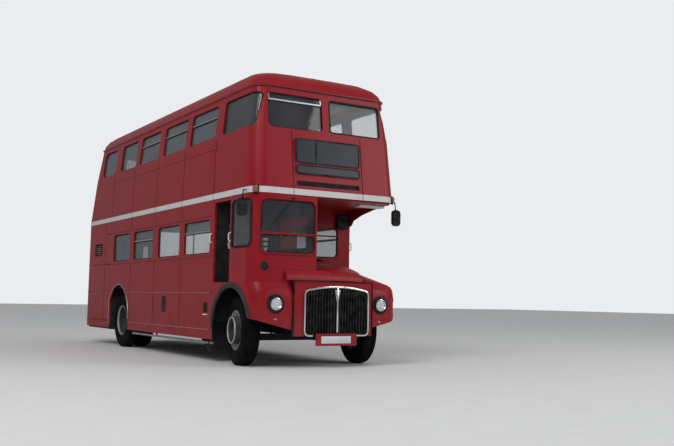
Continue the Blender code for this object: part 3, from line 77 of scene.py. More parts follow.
# Windows of the sides: front and rear edges, and the rows they stand in
LOWER_WINDOWS = ((-2.515, -1.465), (-1.245, -0.235), (0.035, 1.085), (1.31, 2.30))
UPPER_WINDOWS = ((-2.545, -1.49), (-1.30, -0.24), (0.0, 1.02), (1.23, 2.16))
LOWER_ROW = (1.645, 2.165)
UPPER_ROW = (3.425, 3.935)
QUARTER_FRONT = (-3.835, -2.80)
QUARTER_REAR = (2.47, 3.36)
# Bends in the plan of the upper front corner, where a rubber is divided to follow it
CORNER_BENDS = (-3.694, -3.72, -3.75, -3.78, -3.81)
# Windows of the cab and the bulkhead: low and high edge across, low and high edge in height
WINDSCREEN = (-1.085, -0.225, 1.615, 2.365)
CAB_WINDOW = (-3.90, -3.32, 1.70, 2.37)
BULKHEAD_WINDOWS = ((0.22, 0.97, 1.665, 2.12), (-0.98, -0.28, 1.70, 2.12))
# How far the panes lie below the panels in the rows and in the cab
ROW_DEPTH = 0.0295
CAB_DEPTH = 0.0125
# Places of the upright joints between the side panels, and the ends of the upper sides
PANEL_JOINTS = (-1.33, -0.061, 1.227)
UPPER_ENDS = (-2.611, 2.479)
# Mouldings and arch lips of the lower panels: how far out they lie and their radius
BEAD_X = 1.2105
BEAD_RADIUS = 0.009

WHEEL_RADIUS = 0.508
FRONT_WHEEL = (0.973297, (-3.265645, -3.314355))
WHEEL_TURN = -8.0
REAR_AXLE = 1.841
CAB_EDGE = -0.19
# Points closer than this are one point
WELD = 0.00005

# Outside of the walls: height, half width, front and rear, with corners of one radius
BODY_ROWS = (
    (0.346, 1.211, -4.021, 4.182),
    (1.048, 1.211, -4.021, 4.182),
    (2.542, 1.211, -4.021, 4.160),
    (3.384, 1.185, -3.914, 3.890),
    (4.029, 1.116, -3.836, 3.720),
)
CORNER = 0.22
# Bands of the roof are drawn at this height and then laid on it
ABOVE_ROOF = 4.6


# Modelling


def only(*objs):
    """Select these objects and nothing else, the first one active, in object mode."""
    if bpy.context.object and bpy.context.object.mode != "OBJECT":
        bpy.ops.object.mode_set(mode="OBJECT")
    bpy.ops.object.select_all(action="DESELECT")
    for obj in objs:
        obj.select_set(True)
    bpy.context.view_layer.objects.active = objs[0]


def edit(obj, kind="FACE", test=None):
    """Open a piece in edit mode with the faces, edges or points that pass the test selected, or all of it."""
    only(obj)
    bpy.ops.object.mode_set(mode="EDIT")
    bpy.ops.mesh.select_mode(type=kind)
    bpy.ops.mesh.select_all(action="DESELECT" if test else "SELECT")
    if test:
        bpy.ops.object.mode_set(mode="OBJECT")
        mesh = obj.data
        for item in {"FACE": mesh.polygons, "EDGE": mesh.edges, "VERT": mesh.vertices}[kind]:
            item.select = test(item)
        bpy.ops.object.mode_set(mode="EDIT")


def leave():
    bpy.ops.object.mode_set(mode="OBJECT")
    return bpy.context.object


def fixed(obj):
    """Put a piece's place, turn and size into its mesh."""
    only(obj)
    bpy.ops.object.transform_apply(location=True, rotation=True, scale=True)
    return obj


def placed(obj, matrix):
    only(obj)
    obj.matrix_world = matrix @ obj.matrix_world
    return fixed(obj)


def modified(obj, kind, **settings):
    """Add a modifier and apply it."""
    only(obj)
    made = obj.modifiers.new(kind.title(), kind)
    for key, value in settings.items():
        setattr(made, key, value)
    bpy.ops.object.modifier_apply(modifier=made.name)
    return obj


def worked(operation, obj, kind="FACE", test=None, **settings):
    """Run one operation on those faces, edges or points of a piece that pass the test."""
    edit(obj, kind, test)
    operation(**settings)
    return leave()


def rotation(degrees, axis):
    return Matrix.Rotation(math.radians(degrees), 4, axis)


def facing_out(obj):
    edit(obj)
    bpy.ops.mesh.remove_doubles(threshold=WELD)
    bpy.ops.mesh.normals_make_consistent(inside=False)
    return leave()


def facing(obj, way):
    """Turn the faces of a flat piece over if they look against a direction."""
    if obj.data.polygons[0].normal.dot(Vector(way)) < 0:
        worked(bpy.ops.mesh.flip_normals, obj)
    return obj


def smooth(obj, angle=35):
    only(obj)
    bpy.ops.object.shade_smooth_by_angle(angle=math.radians(angle))
    return obj


def flat_faced(obj):
    """Smooth a piece so that its large faces keep their own direction."""
    return modified(smooth(obj), "WEIGHTED_NORMAL", keep_sharp=True, weight=100)


def split(obj, place, normal):
    """Divide the faces of a piece along a plane."""
    return worked(bpy.ops.mesh.bisect, obj, plane_co=place, plane_no=normal)


def bevelled(obj, width, segments, angle):
    """Round the edges of a piece that turn by more than an angle."""
    return modified(
        obj, "BEVEL", width=width, segments=segments, limit_method="ANGLE", angle_limit=math.radians(angle)
    )


def soften(obj, width, segments=2, angle=35):
    """Round the sharp edges of a piece a little."""
    return smooth(bevelled(obj, width, segments, angle), angle)


def joined(*objs):
    objs = [obj for obj in objs if obj]
    only(*objs)
    if len(objs) > 1:
        bpy.ops.object.join()
    return bpy.context.object


def box(low, high, edge=0.0):
    """A block between two corners, with its edges rounded."""
    low, high = Vector(low), Vector(high)
    bpy.ops.mesh.primitive_cube_add(size=1, location=(low + high) / 2)
    obj = bpy.context.object
    obj.scale = high - low
    fixed(obj)
    return soften(obj, edge) if edge else obj


def slab(start, end, normal, width, depth):
    """A bar along a line on a wall, half of it inside the wall."""
    start, end, normal = Vector(start), Vector(end), Vector(normal)
    along = (end - start).normalized()
    across = along.cross(normal).normalized()
    turn = Matrix((across, across.cross(along), along)).transposed().to_4x4()
    bpy.ops.mesh.primitive_cube_add(size=1)
    obj = bpy.context.object
    obj.scale = (width, depth * 2, (end - start).length)
    fixed(obj)
    return placed(obj, Matrix.Translation((start + end) / 2) @ turn)


def rod(start, end, radius, sides=16, edge=0.0):
    start, end = Vector(start), Vector(end)
    turn = (end - start).to_track_quat("Z", "Y").to_matrix().to_4x4()
    bpy.ops.mesh.primitive_cylinder_add(vertices=sides, radius=radius, depth=(end - start).length)
    obj = placed(bpy.context.object, Matrix.Translation((start + end) / 2) @ turn)
    return soften(obj, edge) if edge else smooth(obj)


def chain(points, closed=False):
    """A line of edges through points, drawn by extruding one point."""
    bpy.ops.mesh.primitive_plane_add(size=0.001, location=points[0])
    obj = fixed(bpy.context.object)
    edit(obj, "VERT")
    bpy.ops.mesh.merge(type="CENTER")
    for before, after in zip(points, points[1:]):
        step = Vector(after) - Vector(before)
        bpy.ops.mesh.extrude_region_move(TRANSFORM_OT_translate={"value": step})
    if closed:
        bpy.ops.mesh.select_all(action="SELECT")
        leave()
        last = len(points) - 1
        edit(obj, "VERT", lambda point: point.index in (0, last))
        bpy.ops.mesh.edge_face_add()
    return leave()


def turned(profile, steps, closed=False):
    """Turn a profile of (radius, height) pairs round Z."""
    obj = chain([(radius, 0.0, height) for radius, height in profile], closed)
    circle = {"angle": 2 * math.pi, "center": (0, 0, 0), "axis": (0, 0, 1)}
    worked(bpy.ops.mesh.spin, obj, "VERT", steps=steps, **circle)
    return smooth(facing_out(obj))


def tube(points, radius, sides=4):
    """A round bar with its ends closed along points."""
    obj = chain(points)
    only(obj)
    bpy.ops.object.convert(target="CURVE")
    curve = bpy.context.object.data
    curve.bevel_depth = radius
    curve.bevel_resolution = sides
    curve.use_fill_caps = True
    bpy.ops.object.convert(target="MESH")
    return smooth(facing_out(bpy.context.object), 50)


def plate(wall, edges, corner, ring=0.0, cuts=()):
    """A flat plate with round corners held off a wall, or a ring of the given width.

    The edges are the low and high place along the wall and the low and high height.
    """
    turn, way, off = WALLS[wall]
    a0, a1, z0, z1 = edges
    middle = Vector((way * (a0 + a1) / 2, 0, (z0 + z1) / 2))
    bpy.ops.mesh.primitive_plane_add(size=1, location=middle, rotation=(math.pi / 2, 0, 0))
    obj = bpy.context.object
    obj.scale = (a1 - a0, z1 - z0, 1)
    fixed(obj)
    edit(obj, "VERT")
    if corner:
        bpy.ops.mesh.bevel(offset=corner, segments=6, affect="VERTICES")
    if ring:
        bpy.ops.mesh.select_mode(type="FACE")
        bpy.ops.mesh.select_all(action="SELECT")
        bpy.ops.mesh.inset(thickness=ring)
        bpy.ops.mesh.delete(type="FACE")
    leave()
    for place in cuts:
        worked(bpy.ops.mesh.bisect, obj, plane_co=(way * place, 0, 0), plane_no=(1, 0, 0))
    return placed(obj, rotation(turn, "Z") @ Matrix.Translation((0, -off, 0)))


def shell():
    """The outside of the walls without windows, which flat plates are laid on."""
    if "wall_shell" in bpy.data.objects:
        return bpy.data.objects["wall_shell"]
    loops = []
    for z, half, front, rear in BODY_ROWS:
        corners = (
            (-half + CORNER, front + CORNER, 180),
            (half - CORNER, front + CORNER, 270),
            (half - CORNER, rear - CORNER, 0),
            (-half + CORNER, rear - CORNER, 90),
        )
        points = []
        for x, y, start in corners:
            for number in range(6):
                angle = math.radians(start + 18 * number)
                points.append((x + CORNER * math.cos(angle), y + CORNER * math.sin(angle), z))
        loops.append(chain(points, True))
    obj = joined(*loops)
    for low, high in zip(BODY_ROWS, BODY_ROWS[1:]):
        def level(edge):
            heights = [obj.data.vertices[number].co.z for number in edge.vertices]
            return all(min(abs(z - low[0]), abs(z - high[0])) < 0.001 for z in heights) and (
                abs(heights[0] - heights[1]) < 0.001
            )

        worked(bpy.ops.mesh.bridge_edge_loops, obj, "EDGE", level)
    obj.name = "wall_shell"
    obj.hide_render = True
    return obj


def seated(obj, wall, target, proud, sunk=0.0, trimmed=False):
    """Lay a flat plate on a face and give it its thickness, from so far below that face to so far above.

    A trimmed plate loses what reaches past the face.
    """
    across = wall in ("front", "rear")
    inwards = wall in ("front", "offside")
    modified(
        obj,
        "SHRINKWRAP",
        target=target,
        wrap_method="PROJECT",
        use_project_x=not across,
        use_project_y=across,
        use_project_z=False,
        use_positive_direction=inwards,
        use_negative_direction=not inwards,
    )
    axis = 1 if across else 0
    missed = lambda point: abs(point.co[axis]) > WALLS[wall][2] - 0.1
    if trimmed:
        worked(bpy.ops.mesh.delete, obj, "VERT", missed, type="VERT")
    elif any(missed(point) for point in obj.data.vertices):
        raise RuntimeError(f"a plate on the {wall} missed the face it was to lie on")
    share = 2 * sunk / (proud + sunk) if proud + sunk else 0
    modified(obj, "SOLIDIFY", thickness=proud + sunk, offset=1 - share, use_even_offset=True)
    return smooth(obj)


def grown(edges, step):
    """Edges moved outwards by a step."""
    a0, a1, z0, z1 = edges
    return a0 - step, a1 + step, z0 - step, z1 + step


def laid(wall, target, edges, corner, proud, sunk=0.001, ring=0.0, cuts=()):
    """A plate or ring between edges of a wall, laid on a face there."""
    return seated(plate(wall, edges, corner, ring, cuts), wall, target, proud, sunk)


def copied(name):
    """The merged mesh of a CAD node as a new object."""
    mesh = NODES[name].data.copy()
    for key in list(mesh.keys()):
        del mesh[key]
    mesh.materials.clear()
    obj = bpy.data.objects.new(f"{name}_copy", mesh)
    bpy.context.scene.collection.objects.link(obj)
    edit(obj)
    bpy.ops.mesh.remove_doubles(threshold=WELD)
    bpy.ops.mesh.dissolve_limited(angle_limit=math.radians(0.5))
    return leave()


def cut(obj, cutter):
    """Take a piece away from another."""
    modified(obj, "BOOLEAN", object=cutter, operation="DIFFERENCE", solver="EXACT", use_self=True)
    bpy.data.objects.remove(cutter, do_unlink=True)
    return obj


def finished(obj, look, test=None):
    """Give a piece one of the finishes, or only those of its faces that pass the test."""
    if not test:
        obj.data.materials.clear()
        obj.data.materials.append(finish(look))
        return obj
    obj.data.materials.append(finish(look))
    number = len(obj.data.materials) - 1
    for face in obj.data.polygons:
        if test(face):
            face.material_index = number
    return obj


def ready(obj, name, look=None, body="bus_body", replaces=()):
    """Finish and name a piece, hang it on what it moves with, and hide the parts it stands for."""
    if look:
        finished(obj, look)
    obj.name = obj.data.name = name
    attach(obj, body)
    if replaces:
        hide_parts(*replaces)
    return obj


# Finishes


class Value:
    """A number in a material. Sums written with it add the nodes that work them out."""

    def __init__(self, finish, socket):
        self.finish = finish
        self.socket = socket

    def _sum(self, operation, first, second):
        return self.finish.node("ShaderNodeMath", {"operation": operation}, {0: first, 1: second})

    def __add__(self, other):
        return self._sum("ADD", self, other)

    __radd__ = __add__

    def __sub__(self, other):
        return self._sum("SUBTRACT", self, other)

    def __rsub__(self, other):
        return self._sum("SUBTRACT", other, self)

    def __mul__(self, other):
        return self._sum("MULTIPLY", self, other)

    __rmul__ = __mul__

    def __gt__(self, other):
        return self._sum("GREATER_THAN", self, other)

    def between(self, low, high):
        """0 below low and 1 above high."""
        sockets = {"Value": self, "From Min": low, "From Max": high}
        return self.finish.node("ShaderNodeMapRange", {}, sockets)


class Finish:
    """A procedural material built round one Principled shader."""

    def __init__(self, name):
        self.material = bpy.data.materials.new(name)
        self.material.use_nodes = True
        self.tree = self.material.node_tree
        self.shader = self.tree.nodes["Principled BSDF"]
        self.place = self.node("ShaderNodeTexCoord", out="Object")
        parts = self.node("ShaderNodeSeparateXYZ", sockets={0: self.place}, out="X")
        self.x = parts
        self.y = Value(self, parts.socket.node.outputs["Y"])
        self.z = Value(self, parts.socket.node.outputs["Z"])

    def node(self, kind, settings=None, sockets=None, out=0):
        """Add a node. Its settings come first, then the values or links of its sockets."""
        made = self.tree.nodes.new(kind)
        for key, value in (settings or {}).items():
            setattr(made, key, value)
        for key, value in (sockets or {}).items():
            self.feed(made.inputs[key], value)
        return Value(self, made.outputs[out])

    def feed(self, socket, value):
        if isinstance(value, Value):
            self.tree.links.new(value.socket, socket)
        elif isinstance(value, tuple) and len(value) == 3 and len(socket.default_value) == 4:
            socket.default_value = (*value, 1.0)
        else:
            socket.default_value = value

    def noise(self, scale, detail, stretch=(1, 1, 1)):
        place = self.node("ShaderNodeMapping", {}, {"Vector": self.place, "Scale": stretch})
        sockets = {"Vector": place, "Scale": scale, "Detail": detail}
        return self.node("ShaderNodeTexNoise", {}, sockets)

    def blend(self, share, first, second):
        return self.node("ShaderNodeMix", {"data_type": "RGBA"}, {0: share, 6: first, 7: second}, out=2)

    def bump(self, height, distance, strength=1.0, below=None):
        sockets = {"Height": height, "Distance": distance, "Strength": strength}
        if below:
            sockets["Normal"] = below
        return self.node("ShaderNodeBump", {}, sockets)

    def set(self, **sockets):
        """Feed sockets of the shader. A space in a socket's name is written as an underscore."""
        for key, value in sockets.items():
            self.feed(self.shader.inputs[key.replace("_", " ")], value)
        return self.material


def lighter(colour, share):
    return tuple(channel + (1 - channel) * share for channel in colour)


def darker(colour, share):
    return tuple(channel * (1 - share) for channel in colour)


def enamel(name, colour, rough=0.30, fade=0.007):
    """Coach enamel: a little faded in clouds, streaked by rain, dusty near the road."""
    finish = Finish(name)
    cloud = finish.noise(0.9, 4).between(0.35, 0.7)
    streak = finish.noise(7, 3, (1, 1, 0.12)).between(0.5, 0.8)
    speck = finish.noise(55, 4)
    dust = (1 - finish.z.between(0.3, 1.05)) * finish.noise(3, 6).between(0.3, 0.75)
    paint = finish.blend(cloud, colour, lighter(colour, fade))
    paint = finish.blend(streak * 0.35, paint, darker(colour, 0.3))
    paint = finish.blend(dust * 0.22, paint, (0.13, 0.10, 0.085))
    wave = finish.noise(1.6, 2)
    normal = finish.bump(speck, 0.0004, 0.25, finish.bump(wave, 0.012, 0.35))
    return finish.set(
        Base_Color=paint,
        Roughness=rough + 0.10 * speck + 0.30 * dust + 0.06 * cloud,
        Normal=normal,
        Specular_IOR_Level=0.16,
        Coat_Weight=0.03,
        Coat_Roughness=0.10,
    )


def plain_finish(name, colour, rough, metallic=0.0, grain=30.0, vary=0.25, depth=0.0006, **constants):
    """A finish with a fine grain whose colour and gloss vary a little."""
    finish = Finish(name)
    grain_noise = finish.noise(grain, 5)
    cloud = finish.noise(grain / 12, 3)
    shade = finish.blend(cloud.between(0.3, 0.75), darker(colour, vary), lighter(colour, vary * 0.12))
    return finish.set(
        Base_Color=shade,
        Roughness=(rough - 0.06) + 0.16 * grain_noise,
        Metallic=metallic,
        Normal=finish.bump(grain_noise, depth, 0.5),
        **constants,
    )


def road_dusty(name, colour, rough, metallic=0.0, level=0.35):
    """A finish that carries road dust on its upper faces and in its hollows."""
    finish = Finish(name)
    dust = finish.noise(6, 6).between(0.35, 0.7) * level
    grain = finish.noise(60, 4)
    return finish.set(
        Base_Color=finish.blend(dust, colour, (0.14, 0.125, 0.11)),
        Roughness=rough + 0.2 * dust + 0.08 * grain,
        Metallic=metallic * (1 - dust),
        Specular_IOR_Level=0.2,
        Normal=finish.bump(grain, 0.0008, 0.5),
    )


def window_glass(name, tint, base, edge):
    """Glass that shows what is behind it, and more of the sky at a low angle."""
    finish = Finish(name)
    facing = finish.node("ShaderNodeLayerWeight", {}, {"Blend": 0.35}, out="Facing")
    smear = finish.noise(4, 4, (1, 1, 0.4)).between(0.45, 0.8)
    return finish.set(
        Base_Color=finish.blend(smear * 0.5, tint, lighter(tint, 0.06)),
        Roughness=0.03 + 0.05 * smear,
        Alpha=base + facing * (edge - base) + 0.05 * smear,
        Normal=finish.bump(finish.noise(1.2, 1), 0.004, 0.3),
        Specular_IOR_Level=0.8,
    )


def slatted_wood(name, colour):
    """Floor of hardwood slats that run along the bus, with painted shade in the dark gaps between them."""
    finish = Finish(name)
    slat = finish.node("ShaderNodeMath", {"operation": "PINGPONG"}, {0: finish.x, 1: 0.025})
    # The near-black between the slats is painted shade in the gaps.
    gap_shade = 1 - slat.between(0.0, 0.006)
    grain = finish.noise(14, 6, (9, 0.7, 9))
    wood = finish.blend(grain, darker(colour, 0.45), lighter(colour, 0.05))
    return finish.set(
        Base_Color=finish.blend(gap_shade, wood, (0.02, 0.015, 0.012)),
        Roughness=0.55 + 0.25 * grain,
        Normal=finish.bump(1 - gap_shade, 0.004, 0.9),
    )


def seat_cloth(name, colour, check):
    """Short-pile seat cloth in plain squares of two close tones."""
    finish = Finish(name)
    pitch = 0.045
    across = finish.node("ShaderNodeMath", {"operation": "PINGPONG"}, {0: finish.x, 1: pitch}) > pitch / 2
    along = finish.node("ShaderNodeMath", {"operation": "PINGPONG"}, {0: finish.y, 1: pitch}) > pitch / 2
    square = across + along - 2 * across * along
    pile = finish.noise(420, 2)
    fall = finish.noise(9, 3)
    cloth = finish.blend(square * 0.7, colour, check)
    cloth = finish.blend(fall.between(0.4, 0.7) * 0.3, cloth, darker(colour, 0.5))
    return finish.set(
        Base_Color=cloth,
        Roughness=0.85 + 0.1 * pile,
        Normal=finish.bump(pile, 0.0015, 0.7),
        Sheen_Weight=0.35,
    )


def fluted_glass(name):
    """Pressed lamp glass with upright flutes."""
    finish = Finish(name)
    flute = finish.node("ShaderNodeMath", {"operation": "PINGPONG"}, {0: finish.x, 1: 0.006})
    return finish.set(
        Base_Color=finish.blend(finish.noise(20, 2), (0.80, 0.83, 0.84), (0.62, 0.65, 0.66)),
        Roughness=0.06 + 0.05 * finish.noise(60, 2),
        Alpha=0.42 + 0.2 * finish.noise(16, 2),
        Normal=finish.bump(flute, 0.5, 0.8),
        Coat_Weight=0.6,
    )


def tyre_rubber(name):
    """Tyre rubber: black tread, greyer walls, with dust from the road."""
    finish = Finish(name)
    dust = finish.noise(5, 6).between(0.35, 0.75)
    low = 1 - finish.z.between(0.0, 0.5)
    share = dust * (0.25 + 0.45 * low)
    grain = finish.noise(90, 4)
    return finish.set(
        Base_Color=finish.blend(share, (0.004, 0.004, 0.0045), (0.022, 0.0205, 0.019)),
        Roughness=0.72 + 0.2 * grain,
        Specular_IOR_Level=0.04,
        Normal=finish.bump(grain, 0.0012, 0.6),
    )


def make_finishes(colours):
    """All finishes by name."""
    red = tuple(colours.body_red)
    return {
        "red": enamel("body_enamel", red),
        "band": enamel("band_enamel", tuple(colours.band_white), 0.30, 0.0),
        "lining": plain_finish("saloon_lining", tuple(colours.lining), 0.5, grain=14),
        "ceiling": plain_finish("ceiling_enamel", (0.20, 0.18, 0.14), 0.5, grain=10),
        # joint_shadow: near-black red of the joints and window rubbers, also used as painted shadow under the
        # beads and window top bars, in the step recess, and in the nose's gaps and under its lip.
        "joint": plain_finish("joint_shadow", darker(red, 0.90), 0.8, grain=40, Specular_IOR_Level=0.1),
        "rubber": plain_finish(
            "window_rubber", (0.008, 0.008, 0.010), 0.65, grain=80, Specular_IOR_Level=0.08
        ),
        "arch": road_dusty("arch_rubber", (0.020, 0.022, 0.027), 0.62, level=0.2),
        "chrome": plain_finish("bright_plate", (0.72, 0.72, 0.74), 0.12, 1.0, grain=50, vary=0.10),
        "alloy": plain_finish("window_alloy", (0.46, 0.47, 0.49), 0.34, 1.0, grain=60, vary=0.15),
        "silver": road_dusty("wheel_silver", (0.36, 0.365, 0.38), 0.42, 0.35, 0.5),
        "hub": road_dusty("hub_paint", (0.035, 0.035, 0.038), 0.5, 0.2, 0.4),
        "dark": road_dusty("chassis_paint", (0.010, 0.010, 0.012), 0.75, 0.0, 0.12),
        "black": plain_finish("black_trim", (0.005, 0.005, 0.006), 0.42, grain=120, Specular_IOR_Level=0.06),
        "glass": window_glass("saloon_glass", (0.120, 0.135, 0.155), 0.30, 0.62),
        "screen": window_glass("screen_glass", (0.060, 0.064, 0.072), 0.22, 0.62),
        "clear": window_glass("clear_glass", (0.20, 0.22, 0.24), 0.10, 0.40),
        # The beads' lighter red is a painted highlight.
        "bead": plain_finish("bead_painted_highlight", lighter(red, 0.11), 0.4, grain=40, Specular_IOR_Level=0.2),
        "panes": plain_finish("display_pane", (0.036, 0.040, 0.048), 0.35, grain=8, Specular_IOR_Level=0.15),
        "floor": slatted_wood("floor_slats", tuple(colours.floor_wood)),
        "cloth": seat_cloth("seat_moquette", tuple(colours.seat_cloth), tuple(colours.seat_check)),
        "hide": plain_finish("seat_hide", (0.055, 0.018, 0.014), 0.45, grain=160, depth=0.001),
        "pole": plain_finish("pole_steel", (0.60, 0.60, 0.60), 0.25, 1.0, grain=90),
        "orange": plain_finish("indicator_lens", tuple(colours.indicator), 0.15, grain=90, Coat_Weight=1.0),
        "lamp": fluted_glass("lamp_glass"),
        "tyre": tyre_rubber("tyre_rubber"),
        "plate": plain_finish("plate_blank", tuple(colours.plate), 0.35, grain=70, vary=0.12),
        "mirror": plain_finish("mirror_silver", (0.80, 0.82, 0.84), 0.05, 1.0, grain=20, vary=0.05),
        "handle": enamel("handle_enamel", (0.70, 0.70, 0.68), 0.3, 0.0),
    }


FINISHES = {}


def finish(name):
    if not FINISHES:
        FINISHES.update(make_finishes(bpy.context.scene.bus_colours))
    return FINISHES[name]


# Sizes and colours


def length(name, description, default):
    return bpy.props.FloatProperty(
        name=name, description=description, default=default, min=0.0001, unit="LENGTH", subtype="DISTANCE"
    )


def colour(name, description, default):
    return bpy.props.FloatVectorProperty(
        name=name, description=description, default=default, size=3, min=0.0, max=1.0, subtype="COLOR"
    )


class BusColours(bpy.types.PropertyGroup):
    """Colours of the bus."""

    body_red: colour("Body", "Enamel of the body panels", (0.235, 0.004, 0.010))
    band_white: colour("Band", "Enamel of the band between the decks", (0.52, 0.515, 0.52))
    lining: colour("Lining", "Inside of the walls", (0.07, 0.022, 0.018))
    floor_wood: colour("Floor", "Hardwood slats of the floors", (0.23, 0.13, 0.07))
    seat_cloth: colour("Seat cloth", "Main tone of the seat cloth", (0.19, 0.020, 0.022))
    seat_check: colour("Seat squares", "Second tone of the seat cloth", (0.10, 0.085, 0.02))
    indicator: colour("Indicators", "Lenses of the indicators", (0.26, 0.036, 0.008))
    plate: colour("Plate", "Blank number plate", (0.55, 0.56, 0.58))


class BusSizes(bpy.types.PropertyGroup):
    """Sizes of the fittings."""

    # The joint sizes also give the painted shadow lines under the beads.
    joint_width: length("Joint width", "Width of the sealed joint between two panels", 0.014)
    joint_height: length("Joint height", "How far a sealed joint stands off its panels", 0.0012)
    rubber_width: length("Rubber width", "Face of the rubber round a side window", 0.014)
    glass_depth: length("Glass depth", "How far the panes of the rows lie below the panels", ROW_DEPTH)
    cab_rubber: length("Cab rubber", "Face of the rubber round the cab's side window", 0.026)
    screen_ring: length("Screen surround", "Face of the raised surround of the windscreen", 0.026)
    top_bar: length("Top bar", "Height of the bar under an opening top pane", 0.022)
    slat_pitch: length("Grille pitch", "From one fine grille slat to the next", 0.0165)
    handle_radius: length("Handle", "Radius of a grab handle", 0.009)
    groove_width: length("Tread groove", "Width of a groove round a tyre", 0.009)
    groove_depth: length("Tread depth", "Depth of the tread", 0.009)
    tread_blocks: bpy.props.IntProperty(
        name="Tread blocks", description="Blocks round a tyre's shoulder", default=48, min=12, max=90
    )
    wheel_nuts: bpy.props.IntProperty(
        name="Wheel nuts", description="Nuts of each wheel", default=10, min=4, max=12
    )


def sizes():
    return bpy.context.scene.bus_sizes


# Body panels


def outward(face):
    """How far a face looks away from the middle of the bus, seen from above."""
    middle = Vector((0.0, max(-3.4, min(3.4, face.center.y))))
    away = Vector(face.center[:2]) - middle
    return face.normal.xy.dot(away.normalized()) if away.length else 0.0


def looks_in(face):
    return abs(face.normal.z) < 0.6 and outward(face) < -0.5


def joints_for(name):
    """Lines of the joints between panels, and painted shadow lines under the beads: each is its start, its
    end and the wall's normal.
    """
    waist, half, front, _ = BODY_ROWS[2]
    sill, narrow, back, _ = BODY_ROWS[3]
    slope = (half - narrow) / (sill - waist)
    lines = []

    def line(side, start, end, lean=slope):
        """A joint between two places of a side wall, each given by its Y and Z."""
        ends = [(side * (half - slope * max(0.0, z - waist)), y, z) for y, z in (start, end)]
        lines.append((*ends, (side, 0, lean)))

    for side_name, side in SIDES:
        if name == f"lower_side_{side_name}":
            for y in PANEL_JOINTS:
                line(side, (y, 2.24), (y, 2.47), 0)
                line(side, (y, 0.50), (y, 1.59), 0)
            # Dark lines just under the beads at these heights are painted shadow.
            for z in (2.211, 1.5965):
                line(side, (-2.60, z), (2.78, z), 0)
        if name == f"upper_side_{side_name}":
            for y in (UPPER_ENDS[0], *PANEL_JOINTS):
                line(side, (y, 2.53), (y, 3.238))
                line(side, (y, 3.262), (y, 3.38))
            # A dark line just under the upper bead is painted shadow.
            line(side, (UPPER_ENDS[0], 3.242), (UPPER_ENDS[1], 3.242))
    if name == "lower_rear":
        line(-1, (2.85, 0.50), (2.85, 1.59), 0)
        line(-1, (2.85, 1.62), (2.85, 2.47), 0)
    if name == "upper_rear":
        for side in (-1, 1):
            low, high = (side * (half - slope * (z - waist)) for z in (2.54, 3.38))
            lines.append(((low, UPPER_ENDS[1], 2.54), (high, UPPER_ENDS[1], 3.38), (side, 0, slope)))
    if name == "upper_front":
        for x in (0.585, -0.585):
            lines.append(((x, front, 2.545), (x, back, sill), (0, -1, -0.127)))
    return lines


def body_panel(node, inside):
    """A wall of the body, red outside and lined inside."""
    obj = finished(copied(node), "red")
    if node == "front_bulkhead":
        split(obj, (CAB_EDGE, 0, 0), (1, 0, 0))
        finished(obj, "dark", lambda face: face.center.x < CAB_EDGE and face.normal.y < -0.5)
    elif node == "cab_nearside_panel":
        finished(obj, "dark", lambda face: face.normal.x < -0.5)
    elif node.startswith("wing"):
        finished(obj, inside, lambda face: outward(face) < 0.2 and face.normal.z < 0.5)
    else:
        finished(obj, inside, looks_in)
    if node.startswith("wing") or node in ("bonnet", "nose_cowl"):
        return smooth(obj, 55)
    return flat_faced(obj)


# Each row is a node of the body, the piece that shows it and the finish inside
PANELS = (
    ("lower_side_offside", "lower_panels_offside", "lining"),
    ("lower_side_nearside", "lower_panels_nearside", "lining"),
    ("lower_rear", "lower_panels_rear", "lining"),
    ("upper_side_offside", "upper_panels_offside", "lining"),
    ("upper_side_nearside", "upper_panels_nearside", "lining"),
    ("upper_front", "upper_panels_front", "lining"),
    ("upper_rear", "upper_panels_rear", "lining"),
    ("cab_shell", "cab_panels", "dark"),
    ("wing_offside", "wing_panel_offside", "dark"),
    ("wing_nearside", "wing_panel_nearside", "dark"),
    ("front_bulkhead", "bulkhead_panel", "red"),
    ("cab_nearside_panel", "cab_inner_panel", "red"),
    ("nose_cowl", "nose_panel", "red"),
    ("bonnet", "bonnet_lid", "red"),
    ("radiator_panel", "radiator_surround", "red"),
)


def build_panels():
    strips = []
    for node, name, inside in PANELS:
        body = node if node == "bonnet" else "bus_body"
        ready(body_panel(node, inside), name, body=body, replaces=[node])
        for start, end, normal in joints_for(node):
            strips.append(slab(start, end, normal, sizes().joint_width, sizes().joint_height))
    # The strips are dark joints between the panels and painted shadow lines under the beads.
    ready(joined(*strips), "panel_joints_and_bead_shadows", "joint")


def build_roof():
    obj = finished(copied("roof"), "red")
    finished(obj, "ceiling", lambda face: face.normal.z < -0.25 and face.center.z > 4.02)
    ready(smooth(obj, 40), "roof_dome", replaces=["roof"])
    # Bands over the joints of the roof sheets
    hoops = []
    across = [-1.12 + 0.056 * number for number in range(41)]
    for y in (-2.9, *PANEL_JOINTS, 2.6):
        hoops.append(roof_strip([(x, y - 0.012, ABOVE_ROOF) for x in across], (0, 0.024, 0)))
    along = [-3.98 + 0.04 * number for number in range(28)]
    hoops.append(roof_strip([(-0.011, y, ABOVE_ROOF) for y in along], (0.022, 0, 0)))
    ready(facing_out(smooth(joined(*hoops))), "roof_joint_bands", "red")


def roof_strip(points, width):
    """A thin band laid on the roof from above."""
    line = chain(points)
    worked(bpy.ops.mesh.extrude_region_move, line, "VERT", TRANSFORM_OT_translate={"value": width})
    modified(
        line,
        "SHRINKWRAP",
        target=NODES["roof"],
        wrap_method="PROJECT",
        use_project_z=True,
        use_positive_direction=False,
        use_negative_direction=True,
    )
    # What the roof doesn't stop is left up there
    worked(bpy.ops.mesh.delete, line, "VERT", lambda point: point.co.z > ABOVE_ROOF - 0.1, type="VERT")
    facing_out(line)
    return modified(line, "SOLIDIFY", thickness=0.003, offset=1.0)


